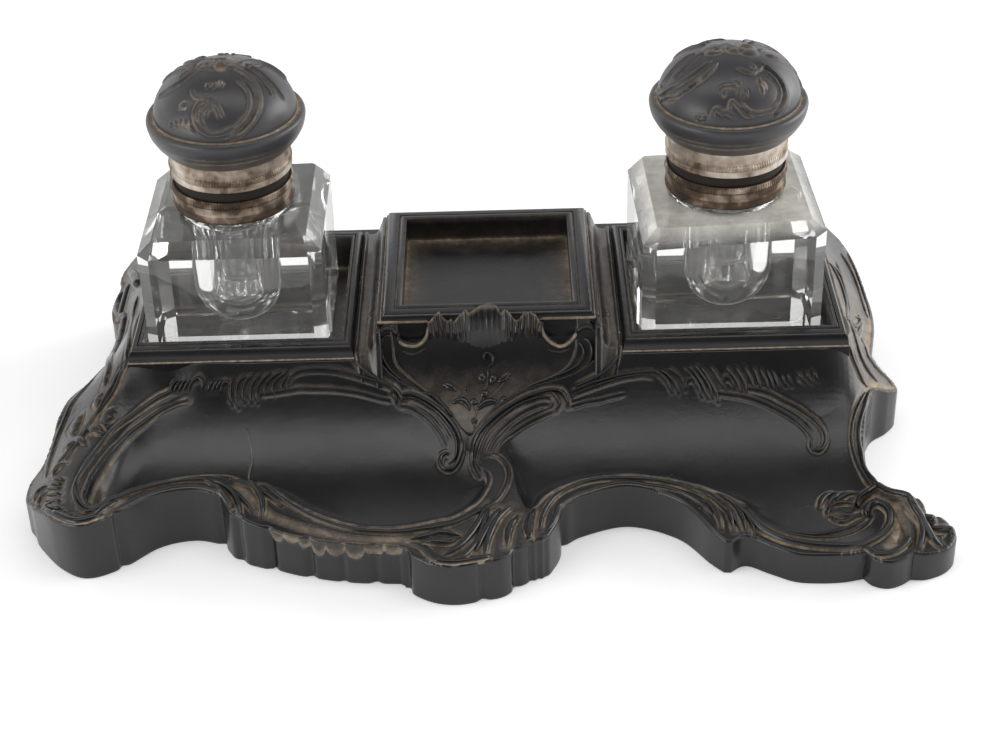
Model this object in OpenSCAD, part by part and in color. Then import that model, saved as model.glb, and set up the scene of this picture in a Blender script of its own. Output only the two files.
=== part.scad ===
// Desk inkstand: a moulded stand with two lift-out cut-glass bottles under hinged domed lids.
// Millimetres, +Z up. The origin is on the table, under the middle of the stand's outline.

/* [Stand] */
// Height of the deck that carries the two well frames
deck_z = 32; // [28:0.5:40]
// Deck shown in front of the well frames
deck_lip = 0.5; // [0.2:0.1:3]
// Lowest height of the pen trough
trough_z = 8.5; // [6:0.5:10]
// Distance from the deck's front edge to the trough's lowest line
trough_run = 44.8; // [38:0.2:50]
// Thickness of the moulded walls
wall = 4; // [3:0.5:5]
// Height of the raised border at the left foot
border_left = 17.5; // [16:0.5:20]
// Height of the raised border at the stand's left edge
border_side = 10; // [9:0.5:14]
// Height of the raised border along the front
border_front = 13.5; // [12.5:0.5:15]
// Height of the raised border at the right foot
border_right = 9; // [8.5:0.5:11]

/* [Scrolls and shell] */
// Height of the beads and scrolls above the surface that carries them
relief = 1.1; // [0.5:0.1:1.5]
// Width of a bead or scroll
bead_w = 1.6; // [1:0.1:2.4]
// Distance from the deck's front edge to the point of the apron
apron_run = 16.9; // [14:0.1:20]
// Radius of the apron's hollow face
apron_r = 40.7; // [38:0.1:46]
// Flutes on each side of the shell's middle lobe
flutes = 5; // [3:1:7]
// Width of the shell across its top
shell_w = 31; // [24:0.5:40]

/* [Well frames] */
// Width of the cove between the centre block and each well frame
cove_w = 7; // [4:0.1:12]
// Space between the glass and the well's wall
well_gap = 2.5; // [1.5:0.1:2.5]
// Width of a well frame's side bar
frame_side = 3.6; // [3:0.1:4.5]
// Width of a well frame's front and back bars
frame_front = 5.2; // [4:0.1:5.6]
// Rise of a well frame above the deck
frame_rise = 2.6; // [2:0.1:4]
// Height of the well's floor above the table
well_floor = 24; // [20:0.2:27]

/* [Centre tray] */
// Width of the centre tray's opening
tray_w = 47.2; // [36:0.2:60]
// Length of the centre tray's opening, front to back
tray_l = 48.3; // [40:0.1:52]
// Depth of the centre tray
tray_depth = 7.6; // [5:0.1:10]
// Width of the bar around the centre tray
tray_bar = 6.1; // [5:0.1:6.2]
// Height of the centre block's frame line above the deck
block_rise = 6.6; // [4:0.1:10]
// Rise of the centre frame above its own line
tray_rise = 2.3; // [1.5:0.1:3.5]

/* [Bottle] */
// Width and depth of the glass block
glass_w = 50; // [40:0.5:60]
// Height of the glass block
glass_h = 38.8; // [34:0.2:50]
// Cut of the top edges
top_cut = 3.9; // [2:0.1:6]
// Cut of the upright corners
corner_cut = 3.4; // [1.5:0.1:6]
// Cut of the bottom edges
foot_cut = 1.2; // [0.5:0.1:2.5]
// Radius of the ink well inside the glass
ink_r = 12.4; // [8:0.1:12.6]
// Thickness of the solid glass under the ink well
glass_floor = 7.3; // [5:0.1:14]
// Outer radius of the glass neck
neck_r = 14.1; // [12:0.1:17]
// Thickness of the neck's wall
neck_wall = 3.6; // [2:0.1:5]
// Left bottle's place in its well, along the stand
left_x = -1.7; // [-2:0.1:1.4]
// Left bottle's place in its well, front to back
left_y = -0.6; // [-1.5:0.1:1.5]
// Turn of the left bottle in its well, in degrees
left_turn = 0; // [-1:0.5:1]
// Right bottle's place in its well, along the stand
right_x = -0.9; // [-1.3:0.1:1.3]
// Right bottle's place in its well, front to back
right_y = 0.6; // [-1.3:0.1:1.3]
// Turn of the right bottle in its well, in degrees
right_turn = 2; // [-2:0.5:2]

/* [Collar and lid] */
// Thickness of the metal rings
ring_wall = 1.9; // [1.5:0.1:3]
// Thickness of the cement between the neck and the collar
cement = 0.8; // [0.5:0.1:1]
// Height of the neck shown between the glass block and the collar
neck_show = 1.8; // [1:0.1:4]
// Height of the lower ring
collar_h = 6.7; // [5:0.1:9]
// Height of the dark band between the two rings
band_h = 2.4; // [2:0.1:4]
// Gap between the collar and the lid's ring when shut
lid_gap = 0.3; // [0.2:0.05:0.5]
// Height of the lid's ring
lid_ring_h = 7.3; // [6:0.1:10]
// How far the lid at its widest stands out past the rings
lid_flare = 4.8; // [3:0.1:7]
// Height of the lid's widest line above its lower edge
lid_bulge = 8.2; // [7:0.1:10]
// Height of the dome above the groove
dome_h = 14.3; // [12:0.1:20]
// Thickness of the dome's wall
dome_wall = 2.4; // [1.8:0.1:3]

/* [Hinge] */
// Radius of the hinge pin
pin_r = 0.7; // [0.6:0.05:0.9]
// Running clearance around the pin
pin_clear = 0.05; // [0.03:0.01:0.08]
// Outer radius of the knuckles
knuckle_r = 1.6; // [1.5:0.05:1.8]
// Length of one knuckle along the pin
knuckle_l = 3.2; // [2.5:0.1:4]
// Side gap between two knuckles
knuckle_gap = 0.2; // [0.1:0.05:0.4]

/* [Hidden] */
$fn = 72;
eps = 0.01;
STEPS = 3;

// The plans below are drawn round wells whose outer edge is at DRAWN_EDGE, and a deck that ends at DRAWN_FRONT
DRAWN_EDGE = 98.9;
DRAWN_FRONT = 33.2;
// Plan of the stand, as runs of a smooth curve that meet in cusps. Each run starts where the last one ended.
OUTLINE = [
    // Back edge
    [[-101, 37.5], [101, 37.5]],
    // Right side: back scroll, hollow, side lobe, long hollow
    [[101, 37.5], [107, 36], [111, 29], [113, 16], [112.5, 2], [110, -10], [109.5, -14]],
    [[109.5, -14], [113.5, -18], [114.8, -26], [111.5, -31.5], [106, -36.5], [102.5, -46], [100.6, -57],
     [100.8, -65], [104, -74], [109, -79]],
    // Right foot: bead, curled leaf, round lobe
    [[109, -79], [111.5, -81], [112.5, -84.5]],
    [[112.5, -84.5], [116, -84], [119, -86.5], [119.2, -90], [116, -94], [111, -96.3], [107, -96.2]],
    [[107, -96.2], [104, -98.4], [100.5, -99.5], [97, -98.2], [95, -95.4]],
    // Front: right curve, pointed corner, right arch
    [[95, -95.4], [90, -96.5], [84, -96.7], [77.5, -95.8], [71.5, -92.4], [65.5, -89], [60.5, -92.2]],
    [[60.5, -92.2], [56.5, -87.5], [49, -77], [36.4, -71.3], [24, -75], [18.5, -79.5]],
    // Front: centre leaf and shell
    [[18.5, -79.5], [17.3, -85], [14, -92]],
    [[14, -92], [9.8, -93.2], [6.1, -95.8]],
    [[6.1, -95.8], [2.5, -99], [-2.5, -100.3]],
    [[-2.5, -100.3], [-8.5, -101.6], [-14, -100.9], [-19, -98.2], [-24, -93.5]],
    // Front: ribbed wall, wave leaf, left arch
    [[-24, -93.5], [-37, -92.4], [-50, -89.2], [-59, -85.3], [-66, -82.4]],
    [[-66, -82.4], [-68.3, -79.6], [-71, -74.7]],
    [[-71, -74.7], [-79, -72.6], [-88, -75.2], [-97, -83.6], [-105.5, -87.3], [-113, -83], [-120, -74],
     [-122, -69.6]],
    // Left side: rolled scroll, long edge, hollow, back scroll
    [[-122, -69.6], [-124.2, -65.5], [-124.2, -59], [-121.8, -55]],
    [[-121.8, -55], [-120.5, -45], [-120, -34], [-117.4, -24.5], [-113, -20]],
    [[-113, -20], [-110.6, -12.5], [-109.3, -1], [-108.8, 8]],
    [[-108.8, 8], [-111.3, 12], [-113, 19.5], [-112.4, 24], [-110.6, 27.7]],
    [[-110.6, 27.7], [-111.8, 31.5], [-110.5, 36], [-106, 38.5], [-101, 37.5]]
];
// Plans of the two sunk pen troughs
LEFT_TROUGH = [[-60, -30], [-90, -34], [-98, -45], [-104, -58], [-106.3, -70], [-103.5, -77.5], [-99, -78.5],
               [-89, -71], [-77, -66.8], [-67.5, -67.5], [-61, -73], [-54, -80.5], [-44, -85], [-33, -86.8],
               [-21, -84.5], [-11, -79.5], [-3, -73], [2, -66], [3, -57], [-8, -44], [-20, -32]];
RIGHT_TROUGH = [[60, -30], [24, -32], [14, -42], [9, -56], [9.5, -68], [15, -73], [24, -67.5], [36, -64.5],
                [47, -66.5], [55, -71.5], [63, -79], [74, -85.5], [85, -88.5], [93, -86], [95.5, -78],
                [94, -66], [94.5, -54], [98, -42], [100, -33]];

// Plan of the apron below the centre frame, and plans of the scrolls that stand on the slope and the border
APRON = [[-26.5, -27.5], [-26.2, -31], [-24.8, -34.9], [-20.8, -37.5], [-15.7, -40.5], [-11.1, -44.4],
         [-7.7, -48.7], [-5.5, -50.1], [-3, -48.1], [0.6, -44.2], [4.5, -41.7], [9.5, -39.7], [16.1, -37.8],
         [21.9, -35.3], [24.3, -31.4], [25, -27.5]];
SCROLLS = [
    // Along the apron's edge, and the two scrolls below it
    APRON,
    [[-28, -38.2], [-24.4, -40.6], [-16.3, -41.9], [-10.9, -46.1], [-8.2, -51], [-8.3, -56.3], [-11.2, -59.7],
     [-13.6, -57.5]],
    [[20.6, -40.2], [9.7, -41.3], [1.9, -45], [-3.1, -49.7], [-5, -55.5], [-4.2, -61.3]],
    // Mouldings under the well frames
    [[-54.7, -36], [-42.1, -35.1], [-35.3, -36.4], [-28, -38.2]],
    [[20.6, -40.2], [27.5, -38.8], [34.4, -37.6], [42.6, -36.9]],
    // Hook at the right of the slope
    [[69.7, -40.5], [81.7, -44.2], [90.2, -51.1], [89.7, -55.4], [86.7, -56.3]],
    // Right foot: curled leaf and the bowl that runs into it
    [[96, -75.5], [99.2, -70.1], [105.3, -68.9], [110.3, -73.6], [111.2, -85.1], [108.6, -94.8]],
    [[65.4, -79.7], [68.6, -85.6], [75, -91], [84.8, -93.7], [93.9, -92.9], [100.2, -88.5], [103.6, -82.4],
     [102.9, -76.8]],
    // Right arch, and the waves at the ends of both arches
    [[13.3, -86], [14.5, -79.5], [18, -73.8], [26.1, -69.1], [39.3, -68.8], [49.7, -71.2], [57.1, -76.2]],
    [[58.9, -74.1], [65, -80.4], [67.6, -88]],
    [[-74.6, -69.6], [-69.1, -72.2], [-65.8, -77.5], [-64.9, -82.7]]
];

// Sizes that follow from the driving ones
well_open = glass_w + 2 * well_gap;
well_w = well_open + 2 * frame_side;
well_l = well_open + 2 * frame_front;
block_w = tray_w + 2 * tray_bar;
well_x = block_w / 2 + cove_w + well_w / 2;
edge = well_x + well_w / 2;
deck_front = well_l / 2 + deck_lip;
trough_y = deck_front + trough_run;
grow_x = edge - DRAWN_EDGE;
grow_y = deck_front - DRAWN_FRONT;
outline_pts = [for (run = OUTLINE) each curve_points([for (p = run) laid(p)])];
mid_x = (max([for (p = outline_pts) p[0]]) + min([for (p = outline_pts) p[0]])) / 2;
mid_y = (max([for (p = outline_pts) p[1]]) + min([for (p = outline_pts) p[1]])) / 2;
block_l = tray_l + 2 * tray_bar;
block_back = well_l / 2;
tray_y = block_back - tray_bar - tray_l / 2;
block_z = deck_z + block_rise;
tray_floor = block_z + tray_rise - tray_depth;
slope_rise = deck_z - 1 - trough_z;
slope_r = (trough_run * trough_run + slope_rise * slope_rise) / (2 * slope_rise);
skirt_foot = 13;
// The apron's face passes through the foot of the centre frame and through a point just under the slope
apron_back = [block_back - block_l, block_z];
apron_tip = [-deck_front - apron_run,
             trough_z + slope_r - sqrt(pow(slope_r, 2) - pow(trough_run - apron_run, 2)) - 0.6];
apron_chord = norm(apron_tip - apron_back);
apron_turn = [apron_tip[1] - apron_back[1], apron_back[0] - apron_tip[0]] / apron_chord;
apron_axis = (apron_back + apron_tip) / 2 + sqrt(pow(apron_r, 2) - pow(apron_chord / 2, 2)) * apron_turn;
glass_top = well_floor + glass_h;
mouth_r = neck_r - neck_wall;
collar_bore = neck_r + cement;
ring_r = collar_bore + ring_wall;
lid_r = ring_r + lid_flare;
shoulder_h = 3;
collar_z = glass_top + neck_show;
collar_top = collar_z + collar_h;
band_top = collar_top + band_h;
ring_z = band_top + lid_gap;
dome_z = ring_z + lid_ring_h;
bulge_z = dome_z + lid_bulge;
groove_z = bulge_z + 1.6;
band_r = ring_r - 1.1;
neck_top = band_top - 0.6;
seat = 0.02;
hinge_y = ring_r + knuckle_r + lid_gap;
hinge_z = band_top + lid_gap / 2;
leaf_step = 0.4;
far = 200;

// A drawn point moved out with the wells' edge and the deck's front
function laid(p) = [p[0] * (1 + grow_x / DRAWN_EDGE), p[1] + (p[1] > 0 ? grow_y : -grow_y)];
// Smooth curve through a run of points, without its last point
function curve_points(run) = len(run) == 2 ? [run[0]] : [
    for (i = [0 : len(run) - 2])
        let (a = i == 0 ? 2 * run[0] - run[1] : run[i - 1],
             d = i == len(run) - 2 ? 2 * run[i + 1] - run[i] : run[i + 2])
            for (k = [0 : STEPS - 1]) blend(a, run[i], run[i + 1], d, k / STEPS)
];
function closed_curve(pts) = let (n = len(pts)) [
    for (i = [0 : n - 1], k = [0 : STEPS - 1])
        blend(pts[(i + n - 1) % n], pts[i], pts[(i + 1) % n], pts[(i + 2) % n], k / STEPS)
];
// Direction across a run of points, at one of them
function across(pts, i) =
    let (d = pts[min(i + 1, len(pts) - 1)] - pts[max(i - 1, 0)]) [-d[1], d[0]] / norm(d);
function blend(a, b, c, d, t) =
    0.5 * (2 * b + (c - a) * t + (2 * a - 5 * b + 4 * c - d) * t * t + (3 * b - a - 3 * c + d) * t * t * t);
// Section of a frame bar, from its outer foot inwards: fillet, quarter round, flat, inner bead
function bar_section(w, h) = concat([[0, 0], [0, 0.25 * h], [0.12 * w, 0.3 * h]],
    [for (q = [0 : 15 : 90]) [(0.5 - 0.38 * cos(q)) * w, (0.35 + 0.55 * sin(q)) * h]],
    [[0.78 * w, 0.9 * h], [0.84 * w, h]]);

module placed() {
    translate([-mid_x, -mid_y, 0]) children();
}

// A slab whose edges follow the bar section on all four sides, so that its corners are mitred
module mitred_slab(w, l, side, front, h, depth) {
    intersection() {
        slab_section(l, front, h, depth, w);
        rotate([0, 0, 90]) slab_section(w, side, h, depth, l);
    }
}

module slab_section(l, bar, h, depth, length) {
    section = bar_section(bar, h);
    outline = concat([[-l / 2, -depth]], [for (p = section) [p[0] - l / 2, p[1]]],
        [for (i = [len(section) - 1 : -1 : 0]) [l / 2 - section[i][0], section[i][1]]], [[l / 2, -depth]]);
    rotate([90, 0, 90]) translate([0, 0, -length / 2]) linear_extrude(length) polygon(outline);
}

// The stand's plan as a column
module plan_column(h) {
    linear_extrude(h) polygon(outline_pts);
}

// Deck, concave slope down to the trough, and sloping side skirts
module deck_mass() {
    difference() {
        translate([-far, -far, 0]) cube([2 * far, 2 * far, deck_z]);
        translate([-far, -trough_y, trough_z + slope_r]) rotate([0, 90, 0])
            cylinder(r = slope_r, h = 2 * far, $fn = 180);
    }
}

module skirt_limit() {
    rotate([90, 0, 0]) translate([0, 0, -far]) linear_extrude(2 * far)
        polygon([[-far, 0], [-far, skirt_foot], [-edge - 12, skirt_foot + 1], [-edge - 0.6, deck_z - 1],
                 [-edge, deck_z], [edge, deck_z], [edge + 0.6, deck_z - 1], [edge + 10, skirt_foot],
                 [far, border_right], [far, 0]]);
}

// Raised border around the troughs, highest at the left foot
module border_mass() {
    difference() {
        rotate([90, 0, 0]) linear_extrude(far)
            polygon([for (p = [[-far, 0], [-far, border_side], [-124, border_side], [-115, border_left],
                     [-72, border_left], [-58, border_front + 0.5], [-45, border_front], [42, border_front],
                     [64, border_right + 1], [80, border_right + 0.4], [far, border_right],
                     [far, 0]]) [p[0] * edge / DRAWN_EDGE, p[1]]]);
        linear_extrude(far) trough_plans();
    }
}

module trough_plans() {
    for (plan = [LEFT_TROUGH, RIGHT_TROUGH]) polygon(closed_curve([for (p = plan) laid(p)]));
}

// Deck with its slope and skirts
module deck_part() {
    intersection() {
        plan_column(deck_z);
        skirt_limit();
        deck_mass();
    }
}

module border_part() {
    intersection() {
        plan_column(deck_z);
        border_mass();
    }
}

// Bead round both troughs and the scrolls, each a band that follows the surface under it
module scrollwork() {
    intersection() {
        linear_extrude(far) difference() {
            offset(delta = bead_w + 0.2) trough_plans();
            offset(delta = 0.2) trough_plans();
        }
        translate([0, 0, relief]) border_part();
    }
    intersection() {
        linear_extrude(far) for (run = SCROLLS) ribbon([for (p = run) laid(p)]);
        translate([0, 0, relief]) {
            deck_part();
            border_part();
        }
    }
}

// Band of even width along a smooth run of points
module ribbon(run) {
    pts = curve_points(run);
    last = len(pts) - 1;
    polygon(concat([for (i = [0 : last]) pts[i] + bead_w / 2 * across(pts, i)],
                   [for (i = [last : -1 : 0]) pts[i] - bead_w / 2 * across(pts, i)]));
}

// Centre block with its hollowed flanks, and the shell on its front
module centre_block() {
    translate([0, block_back - block_l / 2, block_z])
        mitred_slab(block_w, block_l, tray_bar, tray_bar, tray_rise, block_z - 1);
    for (side = [-1, 1]) cove(side);
    shell();
}

// Cove between the block's flank and the well frame beside it
module cove(side) {
    x0 = block_w / 2 - eps;
    x1 = well_x - well_w / 2;
    r = x1 - x0 + 1;
    mirror([side < 0 ? 1 : 0, 0, 0]) difference() {
        translate([x0, -block_back + 1, 1]) cube([x1 - x0, 2 * block_back - 1, deck_z + 3]);
        translate([x1 + 0.6, far, deck_z + r - 0.6]) rotate([90, 0, 0]) cylinder(r = r, h = 2 * far);
    }
}

// Space over the hollow face of the apron
module over_apron() {
    translate([-far, apron_axis[0], apron_axis[1]]) rotate([0, 90, 0])
        cylinder(r = apron_r, h = 2 * far, $fn = 120);
}

// Column over the apron's shield-shaped plan, which reaches back under the front bar of the centre frame
module apron_column(h) {
    back = apron_back[0] + tray_bar;
    linear_extrude(h) polygon(concat(curve_points([for (p = APRON) laid(p)]),
        [[block_w / 2 - tray_bar, back], [tray_bar - block_w / 2, back]]));
}

// Fluted shell that spreads from the apron up to the top of the centre frame
module shell() {
    root = apron_back + [-7.5, -12];
    tip = apron_back + [1.6, tray_rise - 0.6];
    rotate([90, 0, 90]) translate([0, 0, -shell_w / 4]) linear_extrude(shell_w / 2)
        polygon([root, tip, [tip[0], root[1]]]);
    for (k = [-flutes : flutes])
        let (x = k * shell_w / (2 * flutes), middle = k == 0)
            cone([0.45 * x, root[0], root[1]], [x, tip[0], tip[1] + (middle ? 0 : 0.4)],
                 middle ? 2 : 0.9, middle ? 3.2 : 0.5 * shell_w / (2 * flutes + 1) + 0.3);
}

module cone(a, b, r1, r2) {
    d = b - a;
    translate(a) rotate([0, acos(d[2] / norm(d)), atan2(d[1], d[0])])
        cylinder(r1 = r1, r2 = r2, h = norm(d), $fn = 24);
}

module well_frame(side) {
    translate([side * well_x, 0, deck_z])
        mitred_slab(well_w, well_l, frame_side, frame_front, frame_rise, deck_z - 1);
}

module wells_and_tray() {
    for (side = [-1, 1])
        translate([side * well_x - well_open / 2, -well_open / 2, well_floor])
            cube([well_open, well_open, far]);
    translate([-tray_w / 2, tray_y - tray_l / 2, tray_floor]) cube([tray_w, tray_l, far]);
}

// Hollow under the stand: it leaves an even wall under the deck, the slope, the skirts and the wells
module underside() {
    difference() {
        intersection() {
            translate([0, 0, -1]) linear_extrude(deck_z + 1 - wall) offset(delta = -wall - 1)
                polygon(outline_pts);
            rotate([90, 0, 0]) translate([0, 0, -far]) linear_extrude(2 * far)
                polygon([[-far, -1], [-far, border_side - wall], [-edge - 10, skirt_foot + 1 - wall],
                         [wall - edge, deck_z - wall], [edge - wall, deck_z - wall], [edge + 8, skirt_foot - wall],
                         [far, border_right - wall], [far, -1]]);
        }
        translate([-far, -trough_y, trough_z + slope_r]) rotate([0, 90, 0])
            cylinder(r = slope_r + wall, h = 2 * far, $fn = 180);
        for (side = [-1, 1])
            translate([side * well_x - well_open / 2 - wall, -well_open / 2 - wall, well_floor - wall])
                cube([well_open + 2 * wall, well_open + 2 * wall, far]);
    }
}

module stand() {
    color([0.06, 0.055, 0.055]) placed() difference() {
        union() {
            difference() {
                union() {
                    deck_part();
                    border_part();
                    apron_column(block_z);
                }
                intersection() {
                    apron_column(far);
                    over_apron();
                }
            }
            scrollwork();
            for (side = [-1, 1]) well_frame(side);
            centre_block();
        }
        wells_and_tray();
        underside();
    }
}

// Glass block with cut edges, neck, and the round-bottomed ink well inside
module bottle() {
    color([0.8, 0.86, 0.84, 0.4]) translate([0, 0, well_floor]) difference() {
        union() {
            intersection() {
                linear_extrude(glass_h) polygon(cut_square(glass_w / 2, corner_cut));
                cut_section();
                rotate([0, 0, 90]) cut_section();
            }
            cylinder(r = neck_r, h = neck_top - well_floor);
            translate([0, 0, glass_h - eps]) cylinder(r1 = ring_r - 0.2, r2 = neck_r, h = neck_show - 0.1);
        }
        ink_well();
    }
}

// Space for the ink: round bottom, straight side, shoulder, and the mouth through the neck
module ink_well() {
    side_top = glass_h - shoulder_h - 2;
    rotate_extrude() polygon(concat([[0, glass_floor]],
        [for (q = [10 : 10 : 80]) [ink_r * sin(q), glass_floor + ink_r * (1 - cos(q))]],
        [[ink_r, glass_floor + ink_r], [ink_r, side_top], [mouth_r, side_top + shoulder_h], [mouth_r, far],
         [0, far]]));
}

function cut_square(h, c) = [[-h, c - h], [c - h, -h], [h - c, -h], [h, c - h],
                             [h, h - c], [h - c, h], [c - h, h], [-h, h - c]];

module cut_section() {
    h = glass_w / 2;
    rotate([90, 0, 0]) translate([0, 0, -glass_w]) linear_extrude(2 * glass_w)
        polygon([[foot_cut - h, 0], [-h, foot_cut], [-h, glass_h - top_cut], [top_cut - h, glass_h],
                 [h - top_cut, glass_h], [h, glass_h - top_cut], [h, foot_cut], [h - foot_cut, 0]]);
}

// Ring of setting cement between the glass neck and the collar
module cement_ring() {
    height = neck_top - collar_z;
    color([0.1, 0.08, 0.06]) translate([0, 0, collar_z]) difference() {
        cylinder(r = collar_bore - seat, h = height);
        translate([0, 0, -eps]) cylinder(r = neck_r + seat, h = height + 2 * eps);
    }
}

// Metal collar on the neck: beaded ring, plain band above it, and two hinge knuckles
module collar() {
    color([0.55, 0.52, 0.47]) difference() {
        union() {
            rotate_extrude() polygon([[collar_bore, collar_z], [ring_r - 0.2, collar_z], [ring_r, collar_z + 0.6],
                [ring_r - 0.25, collar_z + 2.6], [ring_r - 0.25, collar_top - 2.2], [ring_r + 0.15, collar_top - 1.5],
                [ring_r - 0.1, collar_top - 0.4], [ring_r - 0.5, collar_top], [band_r, collar_top],
                [band_r, band_top], [collar_bore, band_top]]);
            for (side = [-1, 1])
                knuckle(side * (knuckle_l + knuckle_gap), collar_top - 2, hinge_z - leaf_step);
        }
        pin_bore();
    }
}

// Knuckle centred at x, with a leaf between the two heights that reaches to the ring
module knuckle(x, low, high) {
    reach = hinge_y - ring_r + 1.2;
    translate([x - knuckle_l / 2, hinge_y, hinge_z]) rotate([0, 90, 0]) cylinder(r = knuckle_r, h = knuckle_l);
    translate([x - knuckle_l / 2, hinge_y - reach, low]) cube([knuckle_l, reach + knuckle_r / 2, high - low]);
}

module pin_bore() {
    translate([-far, hinge_y, hinge_z]) rotate([0, 90, 0]) cylinder(r = pin_r + pin_clear, h = 2 * far);
}

module hinge_pin() {
    length = 3 * knuckle_l + 2 * knuckle_gap + 0.8;
    color([0.45, 0.42, 0.38]) translate([-length / 2, hinge_y, hinge_z]) rotate([0, 90, 0])
        cylinder(r = pin_r, h = length);
}

// The lid's ring, with a spigot that holds the dome and the middle knuckle of the hinge
module lid_ring() {
    color([0.6, 0.57, 0.5]) difference() {
        union() {
            rotate_extrude() polygon([[band_r - 0.6, ring_z], [ring_r - 0.3, ring_z], [ring_r, ring_z + 0.5],
                [ring_r - 0.1, ring_z + 2], [ring_r + 0.15, ring_z + 2.6], [ring_r + 0.15, ring_z + 3.2],
                [ring_r - 0.1, ring_z + 3.8], [ring_r + 0.1, dome_z], [band_r, dome_z], [band_r, dome_z + 3],
                [band_r - 0.8, dome_z + 3], [band_r - 0.8, ring_z + 1.5]]);
            knuckle(0, hinge_z + leaf_step, ring_z + 3);
        }
        pin_bore();
    }
}

function dome_outer(inset) = concat(
    [[ring_r + 0.2, dome_z + inset], [lid_r - 1.7 - inset, dome_z + 0.42 * lid_bulge + 0.6 * inset],
     [lid_r - 0.25 - inset, dome_z + 0.8 * lid_bulge], [lid_r - inset, bulge_z], [lid_r - 0.3 - inset, bulge_z + 1],
     [lid_r - 1.6 - inset, groove_z - 0.2], [lid_r - 2 - inset, groove_z]],
    [for (q = [8 : 8 : 80]) [(lid_r - 2 - inset) * cos(q), groove_z + (dome_h - inset) * sin(q)]]);

// Moulded dome: flared lower edge, bulge, groove, bell-shaped crown, hollow inside
module dome() {
    top = groove_z + dome_h;
    hollow_r = lid_r - dome_wall - 2;
    color([0.16, 0.16, 0.165]) difference() {
        rotate_extrude() polygon(concat([[0, dome_z]], dome_outer(0), [[0, top]]));
        translate([0, 0, -1]) cylinder(r = band_r + seat, h = dome_z + 5);
        translate([0, 0, bulge_z - 5]) dome_hollow(hollow_r);
    }
}

// Inside of the dome: a short cylinder under a ball-shaped roof
module dome_hollow(r) {
    height = groove_z + dome_h - dome_wall - bulge_z + 5;
    rotate_extrude() polygon(concat([[0, 0]], [for (q = [0 : 10 : 90]) [r * cos(q), height * sin(q)]]));
}

module at_well(side) {
    place = side < 0 ? [left_x - well_x, left_y, 0] : [right_x + well_x, right_y, 0];
    placed() translate(place) rotate([0, 0, side < 0 ? left_turn : right_turn]) children();
}

stand();
at_well(-1) bottle();  // left_bottle
at_well(-1) cement_ring();  // left_cement
at_well(-1) collar();  // left_collar
at_well(-1) hinge_pin();  // left_hinge_pin
at_well(-1) lid_ring();  // left_lid_ring
at_well(-1) dome();  // left_dome
at_well(1) bottle();  // right_bottle
at_well(1) cement_ring();  // right_cement
at_well(1) collar();  // right_collar
at_well(1) hinge_pin();  // right_hinge_pin
at_well(1) lid_ring();  // right_lid_ring
at_well(1) dome();  // right_dome
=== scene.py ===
import math
import bpy
import numpy as np
from mathutils import Matrix, Vector


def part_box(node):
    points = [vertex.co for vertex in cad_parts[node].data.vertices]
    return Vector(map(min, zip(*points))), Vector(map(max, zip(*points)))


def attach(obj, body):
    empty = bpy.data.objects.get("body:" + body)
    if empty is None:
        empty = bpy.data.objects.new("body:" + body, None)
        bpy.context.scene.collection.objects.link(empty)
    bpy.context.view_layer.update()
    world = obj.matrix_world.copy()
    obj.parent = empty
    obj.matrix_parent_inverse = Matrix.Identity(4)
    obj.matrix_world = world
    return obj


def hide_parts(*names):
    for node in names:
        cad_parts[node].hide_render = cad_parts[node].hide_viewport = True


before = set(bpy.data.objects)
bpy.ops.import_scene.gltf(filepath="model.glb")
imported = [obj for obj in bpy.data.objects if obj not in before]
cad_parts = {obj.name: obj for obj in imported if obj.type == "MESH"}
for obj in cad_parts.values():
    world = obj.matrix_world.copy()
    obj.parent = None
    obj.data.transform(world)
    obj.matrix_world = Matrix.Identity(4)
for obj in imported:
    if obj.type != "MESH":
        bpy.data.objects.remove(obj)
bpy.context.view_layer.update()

# The stand is drawn in millimetres round the middle of its centre block; SHIFT moves it to the part's frame
MM = 0.001
SHIFT = np.array([2.48519, 31.55, 0.0])
GRID_STEP = 0.3
RIM_R = 0.9

# Photograph's camera, in millimetres of the drawing
CAMERA_AT = (5.530, -501.274, 336.692)
CAMERA_YAW = -0.0054
CAMERA_PITCH = 0.5885
CAMERA_ROLL = -0.0283
CAMERA_FOCAL_PX = 2042.6

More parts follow.
